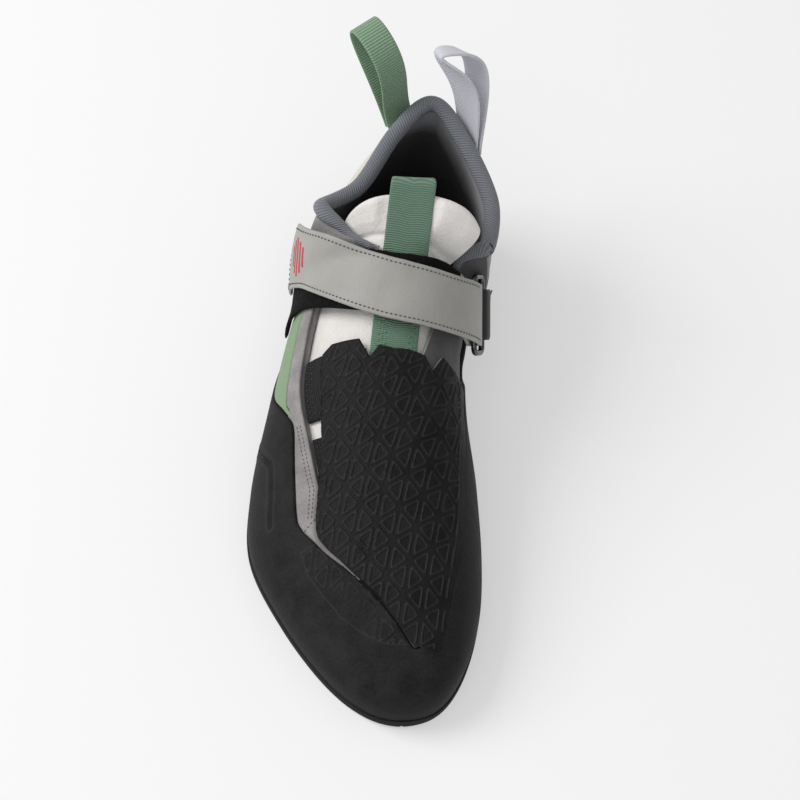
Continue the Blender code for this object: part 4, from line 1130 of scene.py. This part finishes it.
def make_upper():
    climbs = 46
    ribs = np.linspace(0.0, HEEL_RIB, 170)
    turns = around(ribs)
    tops = np.where(rib_number(turns) <= CLOSED_TO + 0.02, 1.0, edge_share(turns))
    rise = tops[:, None] * np.linspace(0.0, 1.0, climbs)
    turn = np.broadcast_to(turns[:, None], rise.shape)
    outer, inner = on_skin(turn, rise, 0.0), on_skin(turn, rise, -UPPER_WALL)
    rows, count = len(turns), len(turns) * climbs
    wall = grid_faces(rows, climbs, True)
    covered = (rise < rubber_share(turns)[:, None] * 0.93) | (rib_number(turn) < 3.3)
    dark = covered.reshape(-1)[wall].all(axis=1)
    # the medial side takes the darker copy of the microfibre: painted shade
    medial = (turn > HEEL_RIB + 3).reshape(-1)[wall].all(axis=1)
    finish = np.where(dark, 2, np.where(medial, 3, 0))
    start = np.arange(rows)
    after = (start + 1) % rows
    foot = np.stack([start, after], -1) * climbs
    rim_ribs = np.maximum(rib_number(turns), rib_number(turns[after]))
    head = foot[rim_ribs > CLOSED_TO + 0.02] + climbs - 1
    edges = np.concatenate([foot, head])
    walls = np.concatenate([edges, edges[:, ::-1] + count], axis=1)
    faces = np.concatenate([wall, wall[:, ::-1] + count, walls])
    index = np.concatenate([finish, np.ones(len(wall), int), np.zeros(len(walls), int)])
    uv = np.stack([run_lengths(outer, 0), run_lengths(outer, 1)], -1).reshape(-1, 2)
    points = np.concatenate([outer.reshape(-1, 3), inner.reshape(-1, 3)])
    materials = [MICROFIBRE, LINING, RUBBER_BLACK, MICROFIBRE_PAINTED_SHADE]
    obj = solid("upper_wall", points, faces.tolist(), np.concatenate([uv, uv]), materials, index)
    worn(obj, "grey_microfibre", "upper")


def footbed(name, inset, low, high, edge_round, material):
    """A plate under the foot between two heights, with rounded edges."""
    s = np.linspace(0.0, 1.0, 150)
    ribs = HEEL_RIB * (0.35 * s + 0.65 * s * s * (3 - 2 * s))
    lateral = rib_at(ribs)[:, :2] - plan_normal(ribs) * inset
    medial = rib_at(TURNS - ribs)[:, :2] - plan_normal(TURNS - ribs) * inset
    share = edged(60.0, 1.5)
    plan = lateral[:, None] + (medial - lateral)[:, None] * share[None, :, None]
    flat = np.concatenate([plan, np.zeros_like(plan[..., :1])], axis=-1)
    drop = edge_round * (1 - edge_profile(flat, 1.6 * edge_round, 1.0))
    y = plan[..., 1]
    bottom = np.concatenate([plan, (low(y) + drop)[..., None]], axis=-1)
    top = np.concatenate([plan, (high(y) - 0.4 * drop)[..., None]], axis=-1)
    return shell(name, top, bottom, [material])


def make_bottom():
    sole = footbed(
        "outsole_rubber",
        -SOLE_LIP,
        sole_height,
        lambda y: sole_height(y) + SOLE_THICKNESS,
        SOLE_EDGE_ROUND,
        RUBBER_BLACK,
    )
    worn(sole, "black_rubber", "outsole")
    floor = SOLE_THICKNESS + GAP
    bed = footbed(
        "insole_felt",
        INSOLE_INSET,
        lambda y: sole_height(y) + floor,
        lambda y: sole_height(y) + floor + INSOLE_THICKNESS,
        0.5,
        FELT,
    )
    worn(bed, "insole_felt", "insole")


def rand_top(turns):
    """Top edge of the rand: close below the patch along the toe, against it on the medial side."""
    rib = rib_number(turns)
    beside = stretch(turns, *BESIDE_PATCH)
    top = rand_share(turns) * (1 - beside) + (PATCH_L(rib) - RAND_GAP) * beside
    medial = np.where(turns < 0, 1 - ease(rib, 5.2, 5.6), 0.0)
    top = top * (1 - medial) + (1 - patch_sides(rib)[1] - 0.002) * medial
    return np.where(np.abs(turns) < POLE_RIB, TOE_COVER, top), medial


def make_rand():
    end = STATIONS[RAND_END]
    toe = np.linspace(-POLE_RIB + 0.01, 1.88, 40)
    fine = np.linspace(1.9, 6.0, 230)
    turns = np.concatenate([np.linspace(-end, -POLE_RIB, 95), toe, fine, np.linspace(6.02, end, 45)])
    top, medial = rand_top(turns)
    share = edged(40.0, 0.42)
    rise = top[:, None] * share[None, :]
    turn = np.broadcast_to(turns[:, None], rise.shape)
    groove = line_distance(turn, rise, RAND_GROOVE)
    relief = -GROOVE_DEPTH * hump(groove, GROOVE_WIDTH)
    relief = relief + GROOVE_LIP * hump(groove - LIP_AWAY, LIP_WIDTH)
    border_turns, border_rises = np.array(EMBOSS_BORDER).T
    over = rise - np.interp(turn, border_turns, border_rises)
    within = stretch(turn, *EMBOSSED_RAND) * ease(over, 0.0, 0.012)
    edge_line = BORDER_HEIGHT * hump(line_distance(turn, rise, EMBOSS_BORDER), BORDER_WIDTH)
    ridge_wear_and_highlight = 1 - RUBBED_SHARE * hump(line_distance(turn, rise, EMBOSS_RUBBED), RUBBED_WIDTH)
    relief = relief + within * triangles(*spread(turn, rise)) * ridge_wear_and_highlight + edge_line
    flush = np.maximum(medial, np.abs(turns) < POLE_RIB)[:, None] * (share > 0.5) + (share < 0.5)
    high = GAP + RUBBER + relief
    rounded = 1 - flush
    obj = plate("toe_rand_rubber", turn, rise, 0.1, high, [RUBBER_BLACK], *RAND_RIM, rounded, 0, relief)
    worn(obj, "black_rubber", "toe_rand")


def patch_grid(columns, rows):
    """Addresses over the toe patch: columns of the back edge by rows from its front tip."""
    ribs_back, across = [], []
    for x, y in PATCH_BACK:
        rib, s = at_plan(x, y)
        left, right = patch_sides(rib)
        ribs_back.append(rib)
        across.append((s - left) / (right - left))
    across[0], across[-1] = 0.0, 1.0
    share = np.unique(np.concatenate([across, columns]))
    back = np.interp(share, across, ribs_back)
    rib = POLE_RIB + (back[:, None] - POLE_RIB) * rows[None, :]
    left, right = patch_sides(rib)
    return rib, left + (right - left) * share[:, None], share


def make_patch():
    rib, s, share = patch_grid(edged(62.0, 0.43), edged(112.0, 0.43))
    back = rib[:, -1:]
    turn, rise = crossing(rib, s)
    flat = on_skin(turn, rise, 0.0)
    inside = (edge_profile(flat, 2.5, 1.0) - 0.45) / 0.55
    lip = 0.5 * (1 - ease(share, 0.0, 0.10))[:, None] * ease(rib, 3.7, 4.2)
    smooth_side = ease(share, 0.90, 0.93)[:, None] * ease(rib, 2.4, 3.2)
    rim_line = 0.35 * hump(share[:, None] - 0.915, 0.006) * ease(rib, 2.4, 3.2)
    relief = triangles(*spread(turn, rise)) * np.clip(inside, 0.0, 1.0) * (1 - smooth_side) + rim_line
    high = GAP + RUBBER + lip + relief
    beside_rand = ease(share, 0.85, 0.9)[:, None] * ease(back - rib, 0.3, 0.6)
    flush = np.maximum(beside_rand, 1 - ease(rib, 2.1, 2.3))
    rubber = [RUBBER_EMBOSSED, BACKING]
    low, rounded = 0.2 + lip, 1 - flush
    obj = plate("toe_patch_rubber", turn, rise, low, high, rubber, *PATCH_RIM, rounded, 1, relief)
    worn(obj, "embossed_rubber", "toe_patch")


def make_heel_cup():
    start = STATIONS[RAND_END] + 0.005
    turns = np.linspace(start, TURNS - start, 170)
    share = edged(50.0, 1.2)
    rise = heel_share(turns)[:, None] * share[None, :]
    turn = np.broadcast_to(turns[:, None], rise.shape)
    obj = plate("heel_cup_rubber", turn, rise, 0.1, GAP + RUBBER, [RUBBER_BLACK], *CUP_RIM, share > 0.5)
    worn(obj, "black_rubber", "heel_cup")


# Overlays on the quarter

# pitch, stitch length and thread thickness
EYESTAY_STITCH = 1.7, 1.15, 0.48
PANEL_STITCH = 2.8, 2.0, 0.55
TAB_STITCH = 1.0, 1.3, 0.5
ELASTIC_STITCH = 1.0, 1.2, 0.45
STRAP_STITCH = 1.8, 1.25, 0.6
# reach of the rounded rim and the share of the thickness that it takes
SUEDE_RIM = 0.7, 0.35
PANEL_RIM = 0.8, 0.5
ELASTIC_RIM = 0.8, 0.6
EYESTAY_FROM, PANEL_FROM = 3.3, 5.45
EYESTAY_ROW = 3.98, 4.08
THREAD_SUNK = 0.02


def make_overlays():
    ribs = np.linspace(EYESTAY_FROM, STATIONS[24], 130)
    top = np.minimum(edge_share(ribs) + 0.004, PATCH_L(ribs) + 0.03)
    rand = rand_top(ribs)[0]
    free = ease(ribs, 5.45, 5.6)
    outer = (rand - 0.03) * (1 - free) + (eyestay_outer(ribs) - SEAM / 2) * free
    turn, rise = between(ribs, outer, top, edged(14.0, 0.4))
    covered = ease(rise - PATCH_L(ribs)[:, None], -0.02, 0.0)
    covered = np.maximum(covered, 1 - ease(rise - rand[:, None], 0.0, 0.012))
    high = (GAP + OVERLAY) * (1 - 0.55 * covered)
    # the cut edge and underside take the darker suede: painted shade along the edge
    strip = plate("eyestay_suede", turn, rise, 0.05, high, [SUEDE, SUEDE_EDGE_PAINTED_SHADE], *SUEDE_RIM, 1.0, 1)
    worn(strip, "grey_suede", "eyestay")
    sewing = np.linspace(4.12, 5.3, 60)
    edge = np.minimum(edge_share(sewing), PATCH_L(sewing) - 0.005)
    rows = [edge - back for back in (0.020, 0.040)]
    lines = [on_skin(sewing, row, GAP + OVERLAY + THREAD_SUNK) for row in rows]
    front, behind = EYESTAY_ROW
    share = np.linspace(rand_top(np.array([front]))[0][0] + 0.015, PATCH_L(behind) - 0.01, 12)
    across = on_skin(np.linspace(front, behind, 12), share, GAP + OVERLAY + THREAD_SUNK)
    sew("eyestay_stitches", [*lines, across], *EYESTAY_STITCH, THREAD_GREY, "grey_suede")
    ribs = np.linspace(PANEL_FROM, STATIONS[37], 190)
    low = rubber_share(ribs) + SEAM / 2
    collar = ease(ribs, 7.4, 9.6)
    below_roll = 0.07 + 0.42 * (1 - ease(ribs, 10.0, 11.2))
    top = (1 - collar) * (eyestay_outer(ribs) - SEAM) + collar * (edge_share(ribs) - below_roll)
    top = np.maximum(top, low + 2 * SEAM)
    turn, rise = between(ribs, low, top, edged(30.0, 0.9))
    panel = plate("side_panel_fabric", turn, rise, 0.05, GAP + OVERLAY, [PANEL_GREEN], *PANEL_RIM)
    worn(panel, "green_fabric", "side_panel")
    sewing = ribs[60:-4]
    row = top[60:-4] - 0.035
    lines = [on_skin(sewing, row, GAP + OVERLAY + 0.05)]
    sew("side_panel_stitches", lines, *PANEL_STITCH, THREAD_GREEN, "green_fabric")
    ribs = np.linspace(STATIONS[37] + 0.03, STATIONS[42], 60)
    turn, rise = between(ribs, heel_share(ribs) + SEAM / 2, edge_share(ribs) - 0.05, edged(30.0, 0.9))
    trim = plate("heel_trim_microfibre", turn, rise, 0.05, GAP + OVERLAY, [CREAM], *PANEL_RIM)
    worn(trim, "cream_microfibre", "heel_trim")


ROLL_THIN = 1.5


def make_binding():
    turns = np.linspace(8.72, TURNS - 9.2, 380)
    full = np.where(turns < HEEL_RIB, ease(turns, 9.1, 9.9), 1 - ease(turns, 16.1, 16.7))
    radius = ROLL_THIN + (BINDING_RADIUS + 0.25 - ROLL_THIN) * full
    front = 1.8 * (1 - ease(rib_number(turns), 9.8, 10.6)) * full
    centres = rim(turns, -UPPER_WALL / 2, radius * (0.35 + 0.6 * full) + front)
    length = run_lengths(centres, 0)
    from_end = np.minimum(length, length[-1] - length)
    radius = radius * (0.3 + 0.7 * ease(from_end, -0.5, 2.5))
    obj = tube("collar_roll", centres, radius, KNIT, False, 28)
    worn(obj, "ribbed_binding", "collar_binding")


# Tongue, pull tab and elastic

TONGUE_FOLD, TONGUE_PUFF, TONGUE_WING, WING_LIFT = 8.0, 1.3, 12.5, 0.65
SEAM_DEPTH, SEAM_WIDTH = 1.0, 0.9
TONGUE_CUSHION = 0.30, 0.45, 0.8, 1.0
ELASTIC_FACE, THREAD_PROUD = -0.7, 0.08


def tongue_grid(depth, across, rows, free):
    ribs = np.linspace(TONGUE[0][0], STRAP_RIB, rows)
    left, right = tongue_reach(ribs)
    s = left[:, None] + (right - left)[:, None] * (across[None, :] + 1) / 2
    body = on_skin(*crossing(ribs[:, None], s), -depth)
    length = TONGUE_FREE * (1 - 0.22 * np.abs(across) ** 7)[None, :]
    out = free[:, None]
    ends = beyond_strap(np.broadcast_to(body[-1], (len(free), len(across), 3)), out * length)
    wing = np.where(across > 0, TONGUE_WING * across, 0.0) * ease(out, 0.3, 0.9)
    ends[..., 0] += wing
    ends[..., 2] += wing * WING_LIFT
    forward = np.concatenate([np.full((rows, len(across)), -1.0), out * length])
    return np.concatenate([body, ends]), forward


def make_tongue():
    across = edged(70.0, 1.0) * 2 - 1
    free = edged(TONGUE_FREE, 0.5)[1:]
    outer, forward = tongue_grid(TONGUE_DEPTH, across, 70, free)
    inner, _ = tongue_grid(TONGUE_DEPTH + TONGUE_THICKNESS, across, 70, free)
    crown = edge_profile(outer, 4.5, 0.85)[..., None]
    out = facing(outer)
    out *= np.sign(np.sum(out * (outer - inner), axis=-1, keepdims=True))
    beside_tab = stretch(np.abs(across), *TONGUE_CUSHION)
    puff = TONGUE_PUFF * ease(forward, TONGUE_FOLD, TONGUE_FOLD + 5.0) * beside_tab
    seam = -SEAM_DEPTH * hump(forward - TONGUE_FOLD, SEAM_WIDTH)
    below_seam = stretch(forward, -1.0, 1.0, TONGUE_FOLD - 1.5, TONGUE_FOLD)
    wrinkles = 0.35 * np.sin(across * 34 + forward * 0.7) + 0.3 * np.sin(forward * 1.9 + across * 9)
    seam = seam + below_seam * ease(across, 0.35, 0.6) * wrinkles
    full = inner + (outer - inner) * crown + out * (puff + seam)[..., None] * crown
    obj = worn(shell("tongue_pad", full, inner, [TONGUE_CLOTH]), "tongue_cloth", "tongue")


def tab_line(depth, ribs, forward, share):
    """Rows across the tab: along the ridge up to the strap, then up the free end."""
    rows = []
    for rib, ahead in zip(ribs, forward):
        low = share_at(LATERAL, rib, "across", rib_at(rib)[4] - TAB_HALF_WIDTH)
        high = share_at(MEDIAL, rib, "across", rib_at(rib)[4] + TAB_HALF_WIDTH)
        s = -(1 - low) + (2 - low - high) * share
        points = on_skin(*crossing(rib, s), -depth)
        level = points[:, 2].max() if depth < TONGUE_DEPTH else points[:, 2].min()
        points[:, 2] += (level - points[:, 2]) * ease(ahead, 1.0, 10.0)
        points[:, 1] += (points[:, 1].mean() - points[:, 1]) * ease(ahead, 0.0, 6.0)
        rows.append(beyond_strap(points, np.full(s.shape, ahead)))
    return np.array(rows)


def make_tab():
    share = edged(2 * TAB_HALF_WIDTH, 1.6)
    free = np.linspace(0.0, TAB_FREE, 25)[1:]
    forward = np.concatenate([np.zeros(40), free])
    ribs = np.concatenate([np.linspace(6.0, STRAP_RIB, 40), np.full(24, STRAP_RIB)])
    above = TONGUE_DEPTH - GAP - 0.2 - WEBBING / 2
    below = TONGUE_DEPTH + TONGUE_THICKNESS + GAP + 0.2 + WEBBING / 2
    outer = tab_line(above, ribs, forward, share)
    back = tab_line(below, ribs[-18:], forward[-18:], share)[::-1]
    turn = fold(outer[-1], back[0], outer[-1] - outer[-2], 12)
    strip = np.concatenate([outer, turn, back])
    obj = sheet("pull_tab_webbing", strip, WEBBING, [GROSGRAIN], share=0.5)
    worn(obj, "green_webbing", "tongue_pull_tab")
    out = facing(outer)
    out *= np.sign(out[..., 2:])
    face = outer + out * (WEBBING / 2 + 0.1)
    sewn, lines = slice(2, 24), []
    for column in (5, len(share) - 6):
        line = face[sewn, column]
        way = unit(face[sewn, column + 1] - face[sewn, column - 1])
        lines.extend(zigzag(line, way, 1.3, 1.1))
    sew("pull_tab_stitches", lines, *TAB_STITCH, THREAD_GREEN, "green_webbing")


def make_elastic():
    for name, start, end in (("elastic_band_front", 4.35, 5.12), ("elastic_band_rear", 5.34, 6.2)):
        ribs = start + (end - start) * edged(20.0, 0.7)
        low, high = edge_share(ribs) + 0.008, np.full(ribs.shape, 0.86)
        turn, rise = between(ribs, low, high, edged(22.0, 1.0))
        band = plate(name + "_weave", turn, rise, -UPPER_WALL, ELASTIC_FACE, [ELASTIC], *ELASTIC_RIM)
        worn(band, "black_elastic", name)
        swing = ribs[3:-3]
        row = edge_share(swing) + 0.05
        line = on_skin(swing, row, ELASTIC_FACE + THREAD_PROUD)
        way = unit(on_skin(swing, row + 0.02, ELASTIC_FACE + THREAD_PROUD) - line)
        pairs = zigzag(line, way, 1.2, 1.1)
        sew(name + "_stitches", pairs, *ELASTIC_STITCH, THREAD_BLACK, "black_elastic")


# Strap, ring and loops


def strap_run(table, offsets, across, count):
    """A run of the strap, laid on the last at its own offset."""
    way = unit(STRAP_ACROSS) * STRAP_WIDTH / 2
    rows = []
    for point, offset in zip(along_points(table, count), offsets):
        spots = [nearest(point + way * a) for a in across]
        rows.append([skin(turn, rise, offset) for turn, rise in spots])
    return relaxed(np.array(rows), offsets)


def strap_runs(across, count):
    lift = np.linspace(0.0, 1.0, count)
    under = strap_run(STRAP_UNDER, UNDER_OFFSET + RING_CLEAR * ease(lift, 0.7, 1.0), across, count)
    to_fold = FOLD_OFFSET + RING_CLEAR - TOP_OFFSET
    offsets = TOP_OFFSET + to_fold * (1 - ease(lift, 0.0, 0.3))
    top = strap_run(STRAP_TOP, offsets, across, count)
    near_ring = max(count // 7, 3)
    for i, share in enumerate(1 - ease(np.arange(near_ring), 0, near_ring)):
        under[-1 - i] = straightened(under[-1 - i], share, across)
        top[i] = straightened(top[i], share, across)
    return under, top


def finer(grid, count, share, across):
    """The same strip with more rows, and with columns at the given places across."""
    at, wanted = np.linspace(0.0, 1.0, len(grid)), np.linspace(0.0, 1.0, count)
    lines = [[through(at, line[:, c], wanted) for c in range(3)] for line in np.swapaxes(grid, 0, 1)]
    return np.array([part_way(share, across, row) for row in np.transpose(lines, (2, 0, 1))])


STRAP_BARS = (
    # start from the tip, low and high end across the strap
    (19.5, -0.30, 0.34),
    (22.3, -0.52, 0.52),
    (25.1, -0.62, 0.62),
    (27.9, -0.50, 0.50),
    (30.7, -0.30, 0.34),
)
BAR_WIDTH, BAR_SLANT, BAR_THICKNESS = 1.5, 1.6, 0.12


def on_strip(face, share, along, across, slant):
    """A patch of a strip's face: lengths from its first row by places across, leaning by a slant."""
    run = run_lengths(face, 0)[:, len(share) // 2]
    rows = []
    for start in along:
        spots = []
        for a in across:
            row = np.interp(start + slant * a, run, np.arange(len(face)))
            low = int(row)
            line = face[low] + (face[low + 1] - face[low]) * (row - low)
            spots.append(part_way(a, share, line))
        rows.append(spots)
    return np.array(rows)


def make_strap():
    coarse = np.linspace(-1.0, 1.0, 7)
    under, top = strap_runs(coarse, 21)
    share = edged(STRAP_WIDTH, 1.5) * 2 - 1
    under, top = finer(under, 80, share, coarse), finer(top, 80, share, coarse)
    middle = (under[-1] + top[0]) / 2
    bar = unit(middle[-1] - middle[0])
    ahead = (under[-1] - under[-6]).mean(axis=0)
    ahead = unit(ahead - bar * np.dot(ahead, bar))
    turn = fold(under[-1], top[0], np.broadcast_to(ahead, under[-1].shape), 14)
    strip = np.concatenate([under, turn, top])
    rows, cols = strip.shape[:2]
    pile = np.zeros((2, rows - 1, cols - 1), int)
    pile[:, : len(under) - 8] = 1
    pile[0, -len(top) + 22 :] = 1
    sides, ends = pile[1, :, 0], np.ones(cols - 1, int)
    edges = np.concatenate([sides, sides, ends, np.zeros_like(ends)])
    obj = sheet("strap_band", strip, STRAP_THICKNESS, [STRAP_LEATHER, PILE], pile, 0.6, edges)
    worn(obj, "strap_leather", "strap")
    face = strip - facing(strip) * (STRAP_THICKNESS / 2 + 0.05)
    start = len(under) + 16
    columns = [int(np.argmin(np.abs(share - a))) for a in (-0.86, 0.86)]
    lines = [face[start:-4, column] for column in columns]
    lines.append(face[-4, columns[0] : columns[1] + 1])
    sew("strap_stitches", lines, *STRAP_STITCH, THREAD_DARK, "strap_leather")
    for number, (along, low, high) in enumerate(STRAP_BARS):
        corners = np.array((along, along + BAR_WIDTH))
        bar_face = on_strip(face[::-1], share, corners, np.linspace(low, high, 9), BAR_SLANT)
        worn(sheet(f"strap_bar_{number}", bar_face, BAR_THICKNESS, [PRINT_RED]), "strap_leather")
    make_ring(middle.mean(axis=0), bar, ahead)


RING_TAB_HALF_WIDTH, RING_TAB_LENGTH = 10.0, 14.0


def make_ring(centre, bar, ahead):
    corners = []
    for long_sign, short_sign, start in ((1, 0, -90), (1, 1, 0), (-1, 1, 90), (-1, 0, 180)):
        for angle in np.linspace(start, start + 90, 9):
            a = math.radians(angle)
            along = long_sign * (RING_LONG / 2 - RING_CORNER) + RING_CORNER * math.cos(a)
            out = short_sign * RING_SHORT + RING_CORNER * (math.sin(a) + (1 if short_sign == 0 else -1))
            corners.append(centre + bar * along + ahead * out)
    ring = tube("ring_wire", np.array(corners), RING_WIRE / 2, STEEL, True, 16)
    worn(ring, "steel_wire", "strap_ring")
    far = centre + ahead * RING_SHORT
    normal = np.cross(bar, ahead)
    normal *= np.sign(np.dot(normal, outward(*nearest(centre))))
    reach = RING_WIRE / 2 + GAP + WEBBING / 2
    width = np.linspace(-RING_TAB_HALF_WIDTH, RING_TAB_HALF_WIDTH, 15)[:, None] * bar
    inner, outer = [], []
    for step in np.linspace(RING_TAB_LENGTH, 1.0, 14):
        over = [nearest(far + ahead * step + w - normal * 3) for w in width]
        wall = np.array([skin(*spot, GAP + WEBBING / 2 + 0.2) for spot in over])
        line = far + ahead * step + width
        share = ease(step, 2.0, RING_TAB_LENGTH)
        inner.append(wall * share + (line - normal * reach) * (1 - share))
        outer.append((wall + normal * (WEBBING + 0.3)) * share + (line + normal * reach) * (1 - share))
    inner.append(far + width - normal * reach)
    outer.append(far + width + normal * reach)
    inner, outer = np.array(inner), np.array(outer)
    turn = fold(inner[-1], outer[-1], np.broadcast_to(-ahead, inner[-1].shape), 12)
    strip = np.concatenate([inner, turn, outer[::-1]])
    worn(sheet("ring_tab_leather", strip, WEBBING, [TAB_LEATHER]), "strap_leather", "ring_tab")


def loop_grid(turn, foot, end, width, half_width, half_open, bow, twist, rows, across):
    base, way_out = skin(turn, LOOP_BELOW_RIM, foot), outward(turn, LOOP_BELOW_RIM)
    length = np.array(end) - base
    width = unit(np.array(width))
    width = unit(width - length * np.dot(width, length) / np.dot(length, length))
    open_way = unit(np.cross(width, length))
    grid = []
    for t in np.linspace(0.0, 1.0, rows):
        rise = (1 - math.cos(2 * math.pi * t)) / 2
        apart = (WEBBING / 2 + 0.25) * math.cos(math.pi * t)
        apart += half_open * LOOP_FULL * math.sin(2 * math.pi * t) * rise**1.4
        bowed = way_out * bow * 6.75 * rise**2 * (1 - rise)
        angle = math.radians(twist) * 4 * rise * (1 - rise)
        level = width * math.cos(angle) + open_way * math.sin(angle)
        through_loop = open_way * math.cos(angle) - width * math.sin(angle)
        middle = base + length * rise + through_loop * apart + bowed
        grid.append([middle + level * half_width * a for a in across])
    return np.array(grid)


def make_loops():
    finishes = (LOOP_GREEN, "green_webbing"), (TAPE, "white_tape")
    for (name, *sizes), (material, slot) in zip(HEEL_LOOPS, finishes):
        grid = loop_grid(*sizes, 141, edged(2 * sizes[4], 1.2) * 2 - 1)
        worn(sheet(name + "_webbing", grid, WEBBING, [material]), slot, name)


# Shoe


def make_shoe():
    make_upper()
    make_bottom()
    make_rand()
    make_patch()
    make_heel_cup()
    make_overlays()
    make_binding()
    make_tongue()
    make_tab()
    make_elastic()
    make_strap()
    make_loops()


# Camera, floor and light

FLOOR_HALF = 4.0
WORLD_LIGHT, TABLE_GLOW = 0.42, 0.42
LAMPS = (
    # name, place, aim, size, power
    ("window_left", (-1.25, 0.30, 1.25), (0.0, 0.05, 0.03), 1.0, 19.0),
    ("fill_front", (-0.3, -1.2, 1.7), (0.0, 0.05, 0.03), 1.6, 6.0),
)


def camera():
    elevation, azimuth, roll = (math.radians(v) for v in (ELEVATION, AZIMUTH, ROLL))
    level = math.cos(elevation)
    view = Vector((-math.sin(azimuth) * level, math.cos(azimuth) * level, -math.sin(elevation)))
    right = Vector((math.cos(azimuth), math.sin(azimuth), 0.0))
    frame_axes = Matrix((right, right.cross(view), -view)).transposed()
    frame_axes = frame_axes @ Matrix.Rotation(roll, 3, "Z")
    eye = LOOK_AT - view * DISTANCE
    data = bpy.data.cameras.new("camera")
    focal = PIXELS_PER_MM * DISTANCE * 1000
    data.sensor_width = SENSOR
    data.lens = SENSOR * focal / PICTURE
    tip = frame_axes.transposed() @ (TOE_TIP - eye)
    data.shift_x = (PICTURE / 2 - TOE_PIXEL[0] + focal * tip.x / -tip.z) / PICTURE
    data.shift_y = (TOE_PIXEL[1] + focal * tip.y / -tip.z - PICTURE / 2) / PICTURE
    obj = link(bpy.data.objects.new("camera", data))
    obj.matrix_world = Matrix.Translation(eye) @ frame_axes.to_4x4()
    bpy.context.scene.camera = obj


def studio():
    mesh = bpy.data.meshes.new("floor")
    corners = [(-1, -1), (1, -1), (1, 1), (-1, 1)]
    points = [(x * FLOOR_HALF, y * FLOOR_HALF, 0.0) for x, y in corners]
    mesh.from_pydata(points, [], [(0, 1, 2, 3)])
    paper, _, surface = shader("white_light_table", Roughness=0.9, Emission_Strength=TABLE_GLOW)
    surface.inputs["Base Color"].default_value = linear("#c4c4c4")
    surface.inputs["Emission Color"].default_value = (1.0, 1.0, 1.0, 1.0)
    mesh.materials.append(paper)
    floor = link(bpy.data.objects.new("floor", mesh))
    for name, spot, aim, size, power in LAMPS:
        data = bpy.data.lights.new(name, "AREA")
        data.size, data.energy = size, power
        lamp = link(bpy.data.objects.new(name, data))
        lamp.location = spot
        lamp.rotation_euler = (Vector(aim) - Vector(spot)).to_track_quat("-Z", "Y").to_euler()
    world = bpy.data.worlds.new("studio")
    world.use_nodes = True
    world.node_tree.nodes["Background"].inputs["Strength"].default_value = WORLD_LIGHT
    world.node_tree.nodes["Background"].inputs["Color"].default_value = (1.0, 1.0, 1.0, 1.0)
    bpy.context.scene.world = world
    bpy.context.scene.view_settings.view_transform = "Standard"


camera()
make_shoe()
studio()
